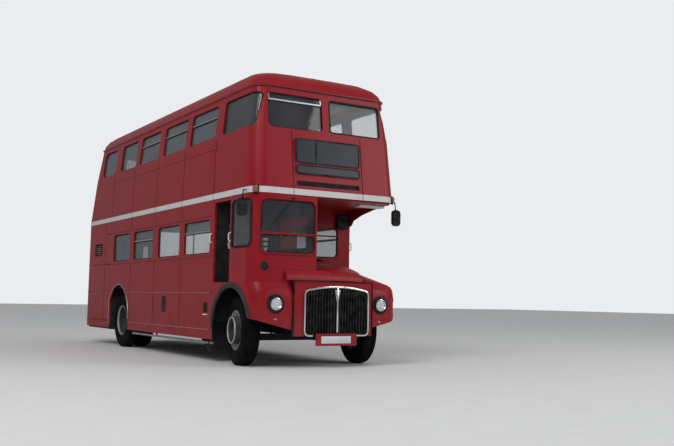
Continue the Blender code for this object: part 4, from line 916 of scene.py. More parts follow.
def build_band():
    obj = finished(copied("band"), "band")
    ready(flat_faced(obj), "band_strip", replaces=["band"])
    joints = []
    for x in (-0.585, 0.585):
        joints.append(slab((x, -4.029, 2.455), (x, -4.029, 2.541), AHEAD, 0.010, 0.001))
    for _, side in SIDES:
        for y in (UPPER_ENDS[0], *PANEL_JOINTS, UPPER_ENDS[1]):
            x = side * 1.219
            joints.append(slab((x, y, 2.455), (x, y, 2.541), (side, 0, 0), 0.010, 0.001))
    ready(joined(*joints), "band_joints", "hub")


# Windows


def ring_on(wall, edges, corner, width, proud, sunk=ROW_DEPTH, cuts=()):
    """A ring round a window, from its glass to the given height above the panel."""
    return laid(wall, shell(), grown(edges, -0.001), corner, proud, sunk, width, cuts)


def bar_on(wall, start, end, z, height, proud, sunk=ROW_DEPTH, cuts=()):
    return laid(wall, shell(), (start, end, z - height / 2, z + height / 2), 0.0, proud, sunk, cuts=cuts)


def build_side_windows():
    """Beads round the panes where they meet the panels, alloy bars under the opening tops, and a dark line of
    painted shadow under each bar.
    """
    rows = (
        ("lower", LOWER_WINDOWS, LOWER_ROW, (0, 2), 1.988),
        ("upper", UPPER_WINDOWS, UPPER_ROW, (0, 1, 2), 3.76),
    )
    width, depth = sizes().rubber_width, sizes().glass_depth
    for name, _ in SIDES:
        for row, windows, (z0, z1), opening, bar in rows:
            rubbers, frames = [], []
            for number, (start, end) in enumerate(windows):
                edges = (start, end, z0, z1)
                rubbers.append(ring_on(name, edges, 0.06, width, -0.020, depth))
                if number in opening:
                    left, right = start + 0.008, end - 0.008
                    frames.append(bar_on(name, left, right, bar, sizes().top_bar, -0.010, depth))
                    # A dark strip under each top bar is painted shadow.
                    rubbers.append(bar_on(name, left, right, bar - 0.017, 0.014, -0.016, depth))
            ready(joined(*rubbers), f"window_beads_{row}_{name}", "joint")
            ready(joined(*frames), f"top_pane_bars_{row}_{name}", "alloy")


def build_end_windows():
    """Rubbers of the corner windows, the upper front and the rear."""
    black, bright = [], []
    for name, _ in SIDES:
        edges = (*QUARTER_FRONT, *UPPER_ROW)
        black.append(ring_on(name, edges, 0.06, 0.012, -0.020, cuts=CORNER_BENDS))
        black.append(ring_on(name, (*QUARTER_REAR, *UPPER_ROW), 0.16, 0.012, -0.020))
    offside, nearside = (-0.955, -0.055, *UPPER_ROW), (0.055, 0.955, *UPPER_ROW)
    black.append(ring_on("front", nearside, 0.06, 0.020, 0.004))
    black.append(ring_on("front", offside, 0.06, 0.014, -0.016))
    bright.append(bar_on("front", -0.938, -0.072, 3.835, 0.022, -0.006))
    for x in (-0.934, -0.076):
        upright = (x - 0.011, x + 0.011, 3.846, 3.915)
        bright.append(laid("front", shell(), upright, 0.0, -0.008, ROW_DEPTH))
    black.append(ring_on("rear", (-0.42, 0.16, 1.66, 2.14), 0.06, 0.018, 0.002, 0.0225))
    black.append(bar_on("front", -0.89, 0.89, 4.018, 0.012, 0.001, 0.002))
    ready(joined(*black), "window_rubbers_ends", "rubber")
    ready(joined(*bright), "opening_frame_front", "alloy")


def build_cab_windows():
    """The raised surround of the windscreen, and the thick rubbers of the cab's windows."""
    cab, width, thick = NODES["cab_shell"], sizes().screen_ring, sizes().cab_rubber
    ring = laid("front", cab, grown(WINDSCREEN, width), 0.115, 0.016, 0.002, width - 0.002)
    ring = soften(ring, 0.006, 3)
    bends = (-1.055, -1.025, -0.991)
    across = bar_on("front", -1.082, -0.228, 1.8885, 0.028, 0.006, CAB_DEPTH, bends)
    ready(joined(ring, soften(across, 0.004)), "windscreen_surround", "red")
    under = bar_on("front", -1.082, -0.228, 1.868, 0.013, 0.001, CAB_DEPTH, bends)
    inner = ring_on("front", WINDSCREEN, 0.09, 0.012, -0.002, CAB_DEPTH)
    bends = (-3.815, -3.85, -3.88)
    outer = laid("offside", cab, grown(CAB_WINDOW, thick * 0.6), 0.09, 0.008, 0.002, thick * 0.58, bends)
    outer = soften(outer, 0.003)
    within = ring_on("offside", CAB_WINDOW, 0.08, 0.016, 0.004, CAB_DEPTH, bends)
    ready(joined(inner, outer, within, under), "cab_window_rubbers", "rubber")
    rims = []
    for edges in BULKHEAD_WINDOWS:
        rims.append(laid("front", NODES["front_bulkhead"], grown(edges, 0.016), 0.07, 0.007, 0.002, 0.014))
    bar = box((0.225, -2.658, 1.992), (0.965, -2.638, 2.012), 0.003)
    ready(joined(*rims, bar), "bulkhead_window_rubbers", "rubber")


def build_bulkhead_glass():
    panes = []
    for x0, x1, z0, z1 in BULKHEAD_WINDOWS:
        bpy.ops.mesh.primitive_plane_add(size=1, rotation=(math.pi / 2, 0, 0))
        pane = bpy.context.object
        pane.location = ((x0 + x1) / 2, -2.648, (z0 + z1) / 2)
        pane.scale = (x1 - x0 - 0.002, z1 - z0 - 0.002, 1)
        fixed(pane)
        worked(bpy.ops.mesh.bevel, pane, "VERT", offset=0.06, segments=6, affect="VERTICES")
        panes.append(modified(pane, "SOLIDIFY", thickness=0.006, offset=0.0))
    ready(joined(*panes), "bulkhead_panes", "clear")


def dress_glass():
    """Glass for every row of panes, and black for the rail that carries it."""
    for node in NODES:
        if not (node.startswith("glass_") or node in ("windscreen", "cab_side_glass")):
            continue
        screen = node in ("windscreen", "cab_side_glass", "glass_upper_front")
        obj = finished(copied(node), "screen" if screen else "glass")
        if node in ("glass_upper_front", "glass_upper_nearside"):
            finished(obj, "clear", lambda face: face.center.x > 0.0)
        row = UPPER_ROW if "upper" in node else LOWER_ROW
        if node.startswith("glass_") and node != "glass_lower_rear":
            finished(obj, "black", lambda face: face.center.z < row[0] + 0.013 and face.area > 0)
        if node == "windscreen":
            bar = lambda face: 1.874 < face.center.z < 1.901 and abs(face.normal.x) < 0.99
            finished(obj, "red", lambda face: bar(face) and face.center.y < -4.01)
        ready(smooth(obj), f"{node}_panes", replaces=[node])


def build_emergency_window():
    node = "emergency_window"
    obj = finished(copied(node), "red")
    pane = lambda face: abs(face.center.x) < 0.50 and 3.487 < face.center.z < 3.873
    finished(obj, "glass", lambda face: pane(face) and abs(face.normal.y) > 0.9)
    ready(smooth(obj), "emergency_window_frame", body=node, replaces=[node])


def build_cab_door():
    obj = finished(copied("cab_door"), "red")
    pane = lambda face: 1.73 < face.center.z < 2.32 and abs(face.center.x + 1.1275) < 0.006
    finished(obj, "glass", lambda face: pane(face) and abs(face.normal.x) > 0.9)
    ready(smooth(obj), "cab_door_panel", body="cab_door", replaces=["cab_door"])


# Front


def build_display():
    """Blank panes of the route display in their rubbers, and the vent under it."""
    panes, rings = [], []
    lower = slab((0, -4.016, 2.72), (0, -3.9714, 3.0), AHEAD, 1.3, 0.001)
    upper = slab((0, -3.985, 2.90), (0, -3.9742, 3.31), AHEAD, 1.3, 0.001)
    for low, high, face in ((2.926, 3.290, upper), (2.767, 2.907, lower)):
        panes.append(laid("front", face, (-0.530, 0.530, low + 0.004, high - 0.004), 0.045, 0.003, 0.004))
        rings.append(laid("front", face, (-0.538, 0.538, low, high), 0.05, 0.008, 0.012, 0.018))
    ready(joined(*panes), "display_panes", "panes")
    rings.append(laid("front", upper, (-0.220, -0.200, 2.930, 3.286), 0.0, 0.007, 0.004))
    for face in (lower, upper):
        bpy.data.objects.remove(face, do_unlink=True)
    rings.append(laid("front", shell(), (-0.53, 0.53, 2.5945, 2.6655), 0.0, 0.002))
    for number in range(6):
        z = 2.601 + 0.0116 * number
        rings.append(laid("front", shell(), (-0.526, 0.526, z, z + 0.003), 0.0, 0.005))
    ready(joined(*rings), "display_rubbers", "rubber")


def build_front_fittings():
    """Wiper, round vent, fold in the cab's front, and the boxes under the canopy."""
    arm = tube([(-0.588, -4.040, 2.403), (-0.66, -4.050, 2.31), (-0.777, -4.052, 2.171)], 0.007)
    blade = slab((-0.735, -4.046, 2.225), (-0.912, -4.046, 2.005), AHEAD, 0.012, 0.006)
    pivot = rod((-0.588, -4.020, 2.403), (-0.588, -4.046, 2.403), 0.016, 20, 0.003)
    ready(joined(arm, blade, pivot), "windscreen_wiper", "black")
    vent = turned([
        (0.0, 0.004), (0.018, 0.005), (0.020, 0.010), (0.030, 0.010), (0.032, 0.004), (0.044, 0.004),
        (0.046, 0.012), (0.056, 0.008), (0.058, 0.0),
    ], 32)
    place = Matrix.Translation((-1.02, -4.018, 1.424)) @ rotation(90, "X") @ rotation(-14, "Y")
    ready(placed(vent, place), "cab_vent", "black")
    fold = slab((-0.932, -4.022, 1.398), (-0.329, -4.022, 1.398), AHEAD, 0.012, 0.004)
    ready(soften(fold, 0.003), "cab_front_fold", "red")
    case = box((0.93, -2.745, 2.13), (1.16, -2.666, 2.35), 0.012)
    ready(case, "bulkhead_box", "black")
    strip = box((0.72, -3.74, 2.395), (1.17, -3.60, 2.4295), 0.006)
    ready(strip, "canopy_light", "handle")


def build_indicators():
    """Orange lenses in black housings at the corners of the band."""
    for name, side in SIDES:
        node = f"indicator_{name}"
        lens = smooth(bevelled(copied(node), 0.006, 3, 30))
        low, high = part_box(node)
        ready(lens, f"indicator_lens_{name}", "orange", replaces=[node])
        middle = Vector(((low.x + high.x) / 2, (low.y + high.y) / 2, 2.4985))
        turn = Matrix.Translation(middle) @ rotation(-45 * side, "Z")
        housing = box((-0.012, -0.045, -0.062), (0.010, 0.045, 0.062), 0.008)
        housing = placed(housing, turn @ Matrix.Translation((-side * 0.010, 0, 0)))
        ready(housing, f"indicator_housing_{name}", "black")


def build_mirrors():
    for name, side in SIDES:
        node = f"mirror_{name}"
        head = smooth(bevelled(copied(node), 0.008, 3, 50), 40)
        ready(head, f"mirror_head_{name}", "black", replaces=[node])
        x = side * 1.31
        face = laid("rear", NODES[node], (x - 0.062, x + 0.062, 2.133, 2.357), 0.045, 0.002, 0.0)
        ready(face, f"mirror_glass_{name}", "mirror")


def build_headlamps():
    """Black outer ring of painted shadow for the lamp's recess, bright rim and fluted glass over a bright
    bowl.
    """
    for name, side in SIDES:
        place = Matrix.Translation((side * 0.873, -4.098, 0.90)) @ rotation(90, "X")
        # The black outer ring is painted shadow of the recess round the lamp.
        ring = turned([
            (0.089, -0.030), (0.089, 0.010), (0.098, 0.017), (0.118, 0.015), (0.134, 0.004),
            (0.137, -0.006), (0.137, -0.030),
        ], 64, True)
        rim = turned([
            (0.075, 0.010), (0.075, 0.022), (0.080, 0.027), (0.087, 0.024), (0.090, 0.014), (0.090, 0.0),
        ], 64, True)
        bowl = turned([
            (0.077, 0.014), (0.058, -0.008), (0.035, -0.024), (0.014, -0.032), (0.0, -0.033),
            (0.0, -0.038), (0.016, -0.036), (0.039, -0.028), (0.063, -0.010), (0.081, 0.006),
        ], 64, True)
        lens = turned([
            (0.0, 0.030), (0.024, 0.0295), (0.047, 0.027), (0.066, 0.021), (0.077, 0.014),
            (0.077, 0.011), (0.0, 0.016),
        ], 64)
        body = joined(finished(ring, "rubber"), finished(rim, "chrome"), finished(bowl, "chrome"))
        ready(placed(body, place), f"headlamp_body_{name}", replaces=[f"headlamp_{name}"])
        ready(placed(lens, place), f"headlamp_glass_{name}", "lamp")


def build_grille():
    """The bright surround and bar, with fine black slats behind them."""
    obj = finished(copied("grille"), "chrome")
    x0, x1, z0, z1 = -0.43, 0.655, 0.447, 1.115
    middle = (x0 + x1) / 2

    def slat(face):
        x, _, z = face.center
        inner = x0 + 0.020 < x < x1 - 0.020 and z0 + 0.020 < z < z1 + 0.028
        return inner and abs(x - middle) > 0.0135 and face.center.y > -4.1205

    finished(obj, "black", slat)
    ready(soften(obj, 0.002, 2), "grille_frame", replaces=["grille"])
    badge = box((middle - 0.048, -4.1325, 0.945), (middle + 0.048, -4.1205, 1.112))
    # The plate narrows to its foot
    edit(badge, "VERT", lambda point: point.co.z < 1.0)
    bpy.ops.transform.resize(value=(0.32, 1, 1), center_override=(middle, 0, 0))
    leave()
    ready(soften(badge, 0.005, 3), "blank_badge", "alloy")
    slats = []
    pitch = sizes().slat_pitch
    for number in range(int((x1 - x0 - 0.06) / pitch)):
        x = x0 + 0.035 + number * pitch
        top = z1 + 0.018 - 0.065 * ((x - middle) / (x1 - middle)) ** 2
        slats.append(box((x - 0.0016, -4.104, z0 + 0.012), (x + 0.0016, -4.086, top)))
        slats.append(box((x - pitch / 2, -4.102, z1 - 0.08), (x + pitch / 2, -4.0995, top)))
    for low, high in ((x0 + 0.018, x0 + 0.036), (x1 - 0.036, x1 - 0.018)):
        slats.append(box((low, -4.102, z0 + 0.03), (high, -4.0995, z1 - 0.04)))
    back = box((x0 + 0.008, -4.0795, z0 + 0.008), (x1 - 0.008, -4.074, z1 + 0.012), 0.002)
    ready(joined(*slats, back), "grille_slats", "black")


def wing_fold(name, side):
    """The raised fold that runs over a headlamp, laid on the wing."""
    middle = Vector((side * 0.78, -WALLS["front"][2], 0.86))
    points = []
    for number in range(24):
        angle = math.radians(68 + 4 * number)
        points.append(middle + Vector((-side * 0.43 * math.cos(angle), 0, 0.295 * math.sin(angle))))
    obj = chain(points)
    edit(obj, "VERT")
    bpy.ops.mesh.extrude_region_move()
    bpy.ops.transform.resize(value=(0.962, 1, 0.945), center_override=middle)
    facing(leave(), AHEAD)
    return soften(seated(obj, "front", NODES[f"wing_{name}"], 0.008, 0.002, True), 0.003)


def build_nose():
    """Number plate, lip seam, side seams and reflectors of the nose; the seams are dark strips of painted
    shade in the gaps beside the radiator panel and under the lip.
    """
    obj = copied("number_plate_box")
    edit(obj, "FACE", lambda face: face.normal.y < -0.9 and face.area > 0.05)
    bpy.ops.mesh.inset(thickness=0.022)
    bpy.ops.transform.translate(value=(0, 0.008, 0))
    leave()
    bevelled(obj, 0.010, 3, 60)
    finished(obj, "red")
    ready(smooth(obj), "plate_carrier", replaces=["number_plate_box"])
    blank = soften(box((-0.180, -4.1885, 0.350), (0.310, -4.1805, 0.452)), 0.0015)
    ready(blank, "blank_plate", "plate")
    for name, side in SIDES:
        x, z = (-0.871, 0.688) if side < 0 else (0.86, 0.655)
        edges = (x - 0.020, x + 0.020, z - 0.010, z + 0.010)
        oval = laid("front", NODES[f"wing_{name}"], edges, 0.009, 0.004)
        ready(oval, f"wing_reflector_{name}", "alloy")
        ready(wing_fold(name, side), f"wing_fold_{name}", "red")
    # Dark strips in the gaps beside the radiator panel and under the lip are painted shade.
    seams = [
        slab((-0.597, -4.101, 0.46), (-0.597, -4.101, 1.23), AHEAD, 0.024, 0.010),
        slab((0.722, -4.101, 0.46), (0.722, -4.101, 1.22), AHEAD, 0.014, 0.010),
        slab((-0.60, -4.101, 1.229), (0.72, -4.101, 1.229), AHEAD, 0.012, 0.012),
    ]
    ready(joined(*seams), "nose_seam_shadows", "joint")


# Sides


def arch_rubber(name, side):
    """The wide rubber lip over a front wheel, laid on the wing."""
    centre = Vector((0, -3.31, 0.50))
    start = math.radians(19.5)
    points = []
    for radius in (0.6215, 0.66, 0.70):
        points.append((0, centre.y - radius * math.cos(start), centre.z + radius * math.sin(start)))
    obj = chain(points)
    worked(bpy.ops.mesh.spin, obj, "VERT", steps=40, angle=math.radians(158), center=centre, axis=(1, 0, 0))
    if max(point.co.z for point in obj.data.vertices) < 0.9:
        raise RuntimeError(f"the arch rubber of the {name} turned the wrong way")
    facing(placed(obj, Matrix.Translation((side * WALLS[name][2], 0, 0))), (side, 0, 0))
    return soften(seated(obj, name, NODES[f"wing_{name}"], 0.012, 0.002, True), 0.004)


def build_beads():
    """Half-round mouldings along the lower panels, in a lighter red that is a painted highlight."""
    runs = []
    for _, side in SIDES:
        runs += [(side * BEAD_X, 1.045, -2.58, 1.488), (side * BEAD_X, 0.487, -2.56, 1.265)]
    runs.append((-BEAD_X, 1.045, 2.345, 3.55))
    beads = [tube([(x, start, z), (x, end, z)], BEAD_RADIUS, 8) for x, z, start, end in runs]
    ready(joined(*beads), "side_beads", "bead")


def build_arches():
    """Rubber lips of the front wings, and the lips round the rear wheels drawn in pale alloy as a painted
    highlight.
    """
    edge = 2.484
    for name, side in SIDES:
        ready(arch_rubber(name, side), f"front_arch_rubber_{name}", "arch")
        # Round the wheel's opening from its front foot, then down the rear panel's edge
        points = []
        for number in range(0, 151 if side < 0 else 181, 5):
            angle = math.radians(number)
            y, z = 1.92 - 0.651 * math.cos(angle), 0.544 + 0.651 * math.sin(angle)
            points.append((side * BEAD_X, min(y, edge), z))
        if side < 0:
            points.append((side * BEAD_X, edge, 0.42))
        # The pale alloy of the rear lip is a painted highlight.
        ready(tube(points, BEAD_RADIUS, 8), f"rear_arch_lip_{name}", "alloy")


def grab_handle(low, high, out):
    """A bent bar between two points on a post."""
    low, high, out = Vector(low), Vector(high), Vector(out)
    points = [low, low + out * 0.6 + Vector((0, 0, 0.004)), low + out + Vector((0, 0, 0.022))]
    points += [high + out - Vector((0, 0, 0.022)), high + out * 0.6 - Vector((0, 0, 0.004)), high]
    return tube(points, sizes().handle_radius)


def build_side_fittings():
    """Grab handles, fuel filler, step recess as a dark plate of painted shade, vent and the low fittings
    behind the wheels.
    """
    handles = []
    for side, y, low, high, out in ((-1, -3.285, 1.79, 1.92, 0.040), (-1, -2.60, 1.805, 1.94, 0.040),
                                    (1, -2.652, 1.776, 1.912, 0.045)):
        handles.append(grab_handle((side * 1.205, y, low), (side * 1.205, y, high), (side * out, 0, 0)))
    ready(joined(*handles), "grab_handles", "handle")
    wall = NODES["lower_side_offside"]
    filler = laid("offside", wall, (-0.688, -0.533, 0.72, 0.98), 0.077, 0.003)
    ring = laid("offside", wall, (-0.700, -0.521, 0.708, 0.992), 0.089, 0.006, ring=0.013)
    # The step recess is a dark plate of painted shade, not a hollow.
    step = laid("offside", wall, (-2.50, -2.34, 0.74, 0.90), 0.02, 0.002)
    ledge = laid("offside", wall, (-2.51, -2.33, 0.708, 0.722), 0.0, 0.010)
    ready(joined(filler, ring), "fuel_filler", "black")
    ready(step, "step_recess_shade", "joint")
    ready(ledge, "step_ledge", "handle")
    flap = box((-1.15, -2.425, 0.14), (-0.80, -2.413, 0.625), 0.003)
    ready(flap, "mud_flap", "arch")
    vent = laid("offside", NODES["lower_rear"], (3.094, 3.546, 1.794, 2.036), 0.035, 0.010, ring=0.016)
    ready(vent, "stair_vent_frame", "rubber")
    louvres = []
    for number in range(5):
        z = 1.83 + 0.042 * number
        louvres.append(slab((-1.200, 3.115, z), (-1.200, 3.525, z), (-0.7, 0, 0.7), 0.03, 0.003))
    ready(joined(*louvres), "stair_vent_louvres", "alloy")


# Inside


def is_top(face):
    return face.normal.z > 0.9


def build_floors():
    """Slatted floors, the lined ceiling of the lower deck, and the guard rails below."""
    obj = finished(copied("lower_floor"), "dark")
    finished(obj, "floor", lambda face: is_top(face) and face.center.z > 0.35)
    finished(obj, "silver", lambda face: abs(face.center.x) > 1.105 and face.center.z < 0.31)
    ready(smooth(obj), "saloon_floor", replaces=["lower_floor"])
    obj = copied("upper_floor")
    split(obj, (0, -2.64, 0), (0, 1, 0))
    finished(obj, "ceiling")
    finished(obj, "floor", is_top)
    finished(obj, "red", lambda face: face.center.y < -2.66 and face.normal.z < 0.9)
    ready(smooth(obj), "upper_deck", replaces=["upper_floor"])
    obj = finished(copied("stairs"), "dark")
    finished(obj, "floor", is_top)
    ready(soften(obj, 0.006, 1, 60), "stair_steps", replaces=["stairs"])
    finished(NODES["platform_pole"], "pole")
    finished(NODES["cab_floor"], "dark")
    finished(NODES["steering_wheel"], "black")


def cushion(width, depth, height, crown):
    """A stuffed block whose front or top swells towards its middle."""
    obj = box((-width / 2, 0, 0), (width / 2, depth, height))
    worked(bpy.ops.mesh.subdivide, obj, number_cuts=5)
    upright = height > depth
    way = Vector((0, -crown, 0)) if upright else Vector((0, 0, crown))
    middle = Vector((0, 0, height / 2)) if upright else Vector((0, depth / 2, height))
    near = 0.3 * max(height, depth)

    def swells(face):
        return face.normal.dot(way) > 0.9 * crown and (face.center - middle).length < near

    edit(obj, "FACE", swells)
    bpy.ops.transform.translate(
        value=way, use_proportional_edit=True, proportional_edit_falloff="SMOOTH", proportional_size=0.24
    )
    leave()
    return smooth(bevelled(obj, min(depth, height) * 0.2, 3, 50), 60)


def seat_bench(width):
    """One double seat: a cushion, a leaning back, a hide back board and a bright rail."""
    half = width / 2
    base = placed(cushion(width, 0.43, 0.10, 0.014), Matrix.Translation((0, 0.0, 0.292)))
    back = cushion(width, 0.09, 0.50, 0.010)
    placed(back, Matrix.Translation((0, 0.385, 0.385)) @ rotation(-5, "X"))
    board = box((-half + 0.01, 0.474, 0.32), (half - 0.01, 0.486, 0.86), 0.005)
    rail = tube([
        (-half + 0.01, 0.455, 0.36), (-half + 0.01, 0.470, 0.885), (-half + 0.03, 0.472, 0.905),
        (half - 0.03, 0.472, 0.905), (half - 0.01, 0.470, 0.885), (half - 0.01, 0.455, 0.36),
    ], 0.010, 2)
    looks = ((base, "cloth"), (back, "cloth"), (board, "hide"), (rail, "pole"))
    return joined(*(finished(obj, look) for obj, look in looks))


def build_seats():
    """Every row of double seats on its wall rail."""
    decks = (
        ("lower", 0.66, [-2.05 + 0.74 * i for i in range(4)], 1.150, 0.85),
        ("upper", 2.54, [-3.30 + 0.70 * i for i in range(8)], 1.120, 0.82),
    )
    for deck, floor, stations, outer, width in decks:
        for name, side in SIDES:
            pattern = seat_bench(width - 0.01)
            rows = []
            for y in stations:
                only(pattern)
                bpy.ops.object.duplicate(linked=False)
                place = Matrix.Translation((side * (outer - width / 2), y, floor))
                rows.append(placed(bpy.context.object, place))
                x = side * (outer - width + 0.10)
                leg = box((x - 0.018, y + 0.2, floor), (x + 0.018, y + 0.236, floor + 0.30), 0.004)
                rows.append(finished(leg, "pole"))
            bpy.data.objects.remove(pattern, do_unlink=True)
            top = floor + 0.335
            low, high = sorted((side * (outer - 0.02), side * (outer + 0.015)))
            rail = box((low, stations[0], top - 0.035), (high, stations[-1] + 0.5, top), 0.004)
            rows.append(finished(rail, "pole"))
            seats = joined(*rows)
            ready(seats, f"double_seats_{deck}_{name}", replaces=[f"seats_{deck}_{name}"])


def build_driver_seat():
    floor = 1.1703
    seat = placed(cushion(0.45, 0.44, 0.10, 0.012), Matrix.Translation((-0.725, -3.38, floor + 0.215)))
    place = Matrix.Translation((-0.725, -2.995, floor + 0.31)) @ rotation(-8, "X")
    back = placed(cushion(0.43, 0.07, 0.48, 0.012), place)
    stem = box((-0.85, -3.28, floor), (-0.60, -3.05, floor + 0.22), 0.01)
    seat = joined(finished(seat, "hide"), finished(back, "hide"), finished(stem, "dark"))
    ready(seat, "driver_seat_padded", replaces=["driver_seat"])


# Wheels and running gear


def tyre(width, middle):
    """A tyre round Z with grooves round its tread and blocks cut at its shoulders."""
    r = WHEEL_RADIUS
    groove, depth = sizes().groove_width / 2, sizes().groove_depth
    half = width * 0.31
    # Shares of the wheel's radius and of the tyre's width, from the rim up one wall
    wall = (
        (0.562, -0.36), (0.574, -0.42), (0.60, -0.455), (0.64, -0.452), (0.655, -0.47), (0.74, -0.495),
        (0.82, -0.492), (0.835, -0.476), (0.90, -0.455), (0.955, -0.405), (0.985, -0.36),
    )
    profile = [(share * r, along * width) for share, along in wall]
    tread = [(0.996 * r, -half)]
    for share in (-0.55, 0.0, 0.55):
        at = share * half
        tread += [(r, at - groove), (r - depth, at - groove), (r - depth, at + groove), (r, at + groove)]
    tread.append((0.996 * r, half))
    profile = profile + tread + [(radius, -along) for radius, along in reversed(profile)]
    profile += [(0.552 * r, 0.30 * width), (0.552 * r, -0.30 * width)]
    steps = sizes().tread_blocks * 2
    obj = turned(profile, steps, True)

    def notch(face):
        x, y, z = face.center
        angle = math.degrees(math.atan2(y, x)) % 360
        odd = int(angle / (360 / steps)) % 2
        radius = math.hypot(x, y)
        return odd and 0.965 * r < radius and abs(z) > half * 0.9

    inwards = {"value": -depth * 0.8}
    worked(bpy.ops.mesh.extrude_region_shrink_fatten, obj, "FACE", notch, TRANSFORM_OT_shrink_fatten=inwards)
    smooth(facing_out(obj), 30)
    return finished(placed(obj, Matrix.Translation((0, 0, middle))), "tyre")


def around(radius, count, start=0.0):
    """X and Y of places at even steps round Z; the start is a share of one step."""
    angles = [2 * math.pi * (number + start) / count for number in range(count)]
    return [(radius * math.cos(angle), radius * math.sin(angle)) for angle in angles]


def nuts(radius, low, high, size):
    made = []
    for x, y in around(radius, sizes().wheel_nuts):
        made.append(rod((x, y, low), (x, y, high), size, 6, 0.002))
        made.append(rod((x, y, high - 0.002), (x, y, high + 0.012), size * 0.45, 10, 0.002))
    return made


def wheel(end, side_name, side, centre, turn, tyres, parts):
    """Move the tyres and the metal of a wheel, made round Z with its face up, to its place on the bus."""
    place = Matrix.Translation(centre) @ rotation(turn, "Z") @ rotation(90 * side, "Y")
    body = f"wheel_{end}_{side_name}"
    rubber = "tyre" if len(tyres) == 1 else "tyres"
    ready(placed(joined(*tyres), place), f"{end}_{rubber}_{side_name}", body=body, replaces=[body])
    ready(placed(joined(*parts), place), f"{end}_rim_{side_name}", body=body)


def build_front_wheels():
    for name, side in SIDES:
        rubber = tyre(0.26, 0.0)
        rim = turned([
            (0.290, 0.104), (0.283, 0.112), (0.272, 0.106), (0.268, 0.084), (0.250, 0.072), (0.238, 0.050),
            (0.222, 0.046), (0.160, 0.068), (0.120, 0.070), (0.052, 0.070), (0.052, 0.060), (0.120, 0.058),
            (0.160, 0.056), (0.222, 0.034), (0.262, 0.020), (0.262, -0.090), (0.288, -0.104),
        ], 64, True)
        holes = [rod((x, y, 0.0), (x, y, 0.12), 0.021, 20) for x, y in around(0.205, 8, 0.5)]
        rim = finished(smooth(cut(rim, joined(*holes))), "silver")
        guard = finished(turned([
            (0.172, 0.060), (0.172, 0.168), (0.178, 0.178), (0.186, 0.182), (0.194, 0.178), (0.200, 0.166),
            (0.200, 0.062),
        ], 64, True), "silver")
        finished(guard, "hub", lambda face: face.center.z < 0.166)
        hub = finished(turned([
            (0.0, 0.138), (0.030, 0.137), (0.048, 0.130), (0.058, 0.116), (0.060, 0.085), (0.092, 0.080),
            (0.100, 0.072), (0.100, 0.064), (0.0, 0.064),
        ], 48), "hub")
        bolts = finished(joined(*nuts(0.135, 0.066, 0.092, 0.015)), "silver")
        brake = finished(turned([(0.0, -0.02), (0.235, -0.02), (0.240, -0.09), (0.0, -0.09)], 48), "dark")
        centre = (side * FRONT_WHEEL[0], FRONT_WHEEL[1][0 if side < 0 else 1], WHEEL_RADIUS)
        wheel("front", name, side, centre, WHEEL_TURN, [rubber], (rim, guard, hub, bolts, brake))


def build_rear_wheels():
    for name, side in SIDES:
        tyres = [tyre(0.24, 1.035), tyre(0.24, 0.745)]
        rim = finished(turned([
            (0.288, 1.131), (0.281, 1.137), (0.270, 1.130), (0.264, 1.108), (0.255, 1.060), (0.246, 0.985),
            (0.225, 0.958), (0.180, 0.948), (0.100, 0.946), (0.100, 0.930), (0.180, 0.932), (0.235, 0.940),
            (0.262, 0.97), (0.266, 0.66), (0.288, 0.648),
        ], 64, True), "hub")
        edge = finished(turned([
            (0.282, 1.132), (0.279, 1.1385), (0.266, 1.132), (0.262, 1.110), (0.270, 1.112),
        ], 64, True), "silver")
        hub = finished(turned([
            (0.0, 1.034), (0.060, 1.033), (0.075, 1.026), (0.080, 1.010), (0.088, 0.975), (0.125, 0.962),
            (0.130, 0.945), (0.0, 0.945),
        ], 48), "hub")
        bolts = finished(joined(*nuts(0.155, 0.945, 0.972, 0.015)), "silver")
        wheel("rear", name, side, (0, REAR_AXLE, WHEEL_RADIUS), 0.0, tyres, (rim, edge, hub, bolts))


def dress_running_gear():
    for node in (
        "engine", "front_subframe", "front_axle", "rear_axle", "knuckle_offside", "knuckle_nearside",
    ):
        finished(NODES[node], "dark")


# Stage


def light(name, place, target, size, power):
    bpy.ops.object.light_add(type="AREA", location=place)
    obj = bpy.context.object
    obj.name = name
    obj.rotation_euler = (Vector(target) - Vector(place)).to_track_quat("-Z", "Y").to_euler()
    obj.data.shape = "DISK"
    obj.data.size = size
    obj.data.energy = power


def build_world(level, shine, pale):
    """Soft light from all round: its level on surfaces, in their reflections and as the backdrop."""
    world = bpy.data.worlds.new("studio")
    bpy.context.scene.world = world
    world.use_nodes = True
    tree = world.node_tree
    sky = tree.nodes["Background"]
    path = tree.nodes.new("ShaderNodeLightPath")
    strength = None
    for output, value in (("Is Glossy Ray", shine), ("Is Transmission Ray", pale), ("Is Camera Ray", pale)):
        choice = tree.nodes.new("ShaderNodeMapRange")
        choice.inputs["To Max"].default_value = value
        choice.inputs["To Min"].default_value = level
        if strength:
            tree.links.new(strength, choice.inputs["To Min"])
        tree.links.new(path.outputs[output], choice.inputs["Value"])
        strength = choice.outputs["Result"]
    tree.links.new(strength, sky.inputs["Strength"])
    sky.inputs["Color"].default_value = (0.96, 0.98, 1.0, 1.0)


def build_floor():
    bpy.ops.mesh.primitive_plane_add(size=160)
    obj = bpy.context.object
    obj.name = obj.data.name = "studio_floor"
    made = Finish("studio_floor")
    grain = made.noise(3, 6)
    material = made.set(
        Base_Color=made.blend(grain, (0.60, 0.60, 0.60), (0.66, 0.66, 0.655)),
        Roughness=0.75 + 0.1 * grain,
        Normal=made.bump(made.noise(40, 4), 0.002, 0.3),
    )
    obj.data.materials.append(material)


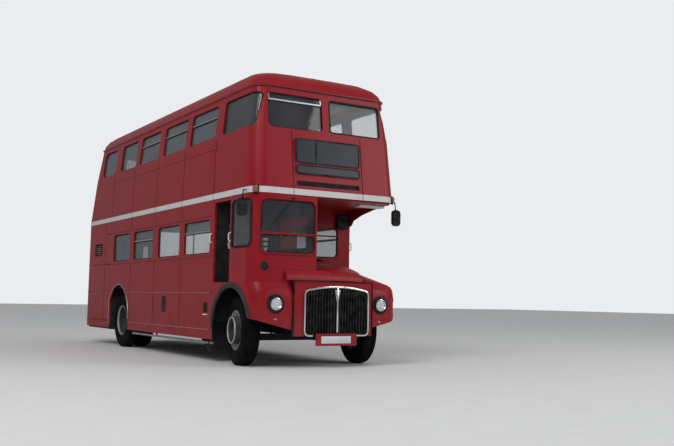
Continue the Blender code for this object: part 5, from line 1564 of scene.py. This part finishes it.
def build_camera():
    """The camera at the photograph's angle."""
    yaw, pitch, roll = (math.radians(angle) for angle in (31.141, 4.913, 0.987))
    ahead = Vector((math.sin(yaw) * math.cos(pitch), math.cos(yaw) * math.cos(pitch), math.sin(pitch)))
    right = Vector((math.cos(yaw), -math.sin(yaw), 0.0))
    up = right.cross(ahead)
    across = right * math.cos(roll) + up * math.sin(roll)
    upright = up * math.cos(roll) - right * math.sin(roll)
    bpy.ops.object.camera_add()
    obj = bpy.context.object
    obj.name = "camera"
    turn = Matrix((across, upright, -ahead)).transposed().to_4x4()
    obj.matrix_world = Matrix.Translation((-6.571, -15.135, 0.9745)) @ turn
    obj.data.sensor_fit = "HORIZONTAL"
    obj.data.sensor_width = 36.0
    # The photograph's focal length and width, both in its own dots
    obj.data.lens = 890.67 / 674 * obj.data.sensor_width
    obj.data.clip_end = 300.0
    bpy.context.scene.camera = obj


# Operators


class BUS_OT_panels(bpy.types.Operator):
    """Body panels with their joints, the roof and the band"""

    bl_idname = "bus.panels"
    bl_label = "Body panels"

    def execute(self, context):
        build_panels()
        build_roof()
        build_band()
        return {"FINISHED"}


class BUS_OT_windows(bpy.types.Operator):
    """Rubbers, alloy frames and glass of all windows"""

    bl_idname = "bus.windows"
    bl_label = "Windows"

    def execute(self, context):
        build_side_windows()
        build_end_windows()
        build_cab_windows()
        build_bulkhead_glass()
        dress_glass()
        return {"FINISHED"}


class BUS_OT_moving_panels(bpy.types.Operator):
    """The emergency window and the cab's sliding door"""

    bl_idname = "bus.moving_panels"
    bl_label = "Door and emergency window"

    def execute(self, context):
        build_emergency_window()
        build_cab_door()
        return {"FINISHED"}


class BUS_OT_display(bpy.types.Operator):
    """The blank route display"""

    bl_idname = "bus.display"
    bl_label = "Route display"

    def execute(self, context):
        build_display()
        bpy.data.objects.remove(shell(), do_unlink=True)
        return {"FINISHED"}


class BUS_OT_front_fittings(bpy.types.Operator):
    """Wiper, vent, indicators and mirrors"""

    bl_idname = "bus.front_fittings"
    bl_label = "Front fittings"

    def execute(self, context):
        build_front_fittings()
        build_indicators()
        build_mirrors()
        return {"FINISHED"}


class BUS_OT_nose(bpy.types.Operator):
    """Headlamps, grille and number plate"""

    bl_idname = "bus.nose"
    bl_label = "Nose"

    def execute(self, context):
        build_headlamps()
        build_grille()
        build_nose()
        return {"FINISHED"}


class BUS_OT_sides(bpy.types.Operator):
    """Wheel arches and the fittings along the sides"""

    bl_idname = "bus.sides"
    bl_label = "Side fittings"

    def execute(self, context):
        build_arches()
        build_beads()
        build_side_fittings()
        return {"FINISHED"}


class BUS_OT_inside(bpy.types.Operator):
    """Floors, stairs and rails"""

    bl_idname = "bus.inside"
    bl_label = "Saloons"

    def execute(self, context):
        build_floors()
        return {"FINISHED"}


class BUS_OT_seats(bpy.types.Operator):
    """Padded seats of both decks and the driver's seat"""

    bl_idname = "bus.seats"
    bl_label = "Seats"

    def execute(self, context):
        build_seats()
        build_driver_seat()
        return {"FINISHED"}


class BUS_OT_wheels(bpy.types.Operator):
    """Tyres, rims and hubs, and the finish of the running gear"""

    bl_idname = "bus.wheels"
    bl_label = "Wheels"

    def execute(self, context):
        build_front_wheels()
        build_rear_wheels()
        dress_running_gear()
        return {"FINISHED"}


class BUS_OT_stage(bpy.types.Operator):
    """Floor, light and camera"""

    bl_idname = "bus.stage"
    bl_label = "Stage"

    def execute(self, context):
        build_floor()
        build_world(level=0.56, shine=0.34, pale=0.86)
        light("key", (-13, -12, 15), (0, 0, 1.5), size=10, power=1900)
        light("fill", (12, -16, 9), (0, -3, 1.5), size=9, power=900)
        build_camera()
        bpy.context.scene.view_settings.view_transform = "Standard"
        return {"FINISHED"}


STEPS = (
    BUS_OT_panels,
    BUS_OT_windows,
    BUS_OT_moving_panels,
    BUS_OT_display,
    BUS_OT_front_fittings,
    BUS_OT_nose,
    BUS_OT_sides,
    BUS_OT_inside,
    BUS_OT_seats,
    BUS_OT_wheels,
    BUS_OT_stage,
)


class BUS_PT_parts(bpy.types.Panel):
    """Steps that build the bus, with its sizes and colours"""

    bl_idname = "BUS_PT_parts"
    bl_label = "Double decker bus"
    bl_space_type = "VIEW_3D"
    bl_region_type = "UI"
    bl_category = "Bus"

    def draw(self, context):
        for step in STEPS:
            self.layout.operator(step.bl_idname)
        for group in (context.scene.bus_sizes, context.scene.bus_colours):
            for key in group.__annotations__:
                self.layout.prop(group, key)


CLASSES = (BusColours, BusSizes, *STEPS, BUS_PT_parts)


def register():
    for each in CLASSES:
        bpy.utils.register_class(each)
    bpy.types.Scene.bus_colours = bpy.props.PointerProperty(type=BusColours)
    bpy.types.Scene.bus_sizes = bpy.props.PointerProperty(type=BusSizes)


def unregister():
    del bpy.types.Scene.bus_sizes
    del bpy.types.Scene.bus_colours
    for each in reversed(CLASSES):
        bpy.utils.unregister_class(each)


def main():
    register()
    for step in STEPS:
        group, name = step.bl_idname.split(".")
        getattr(getattr(bpy.ops, group), name)()


if __name__ == "__main__":
    main()
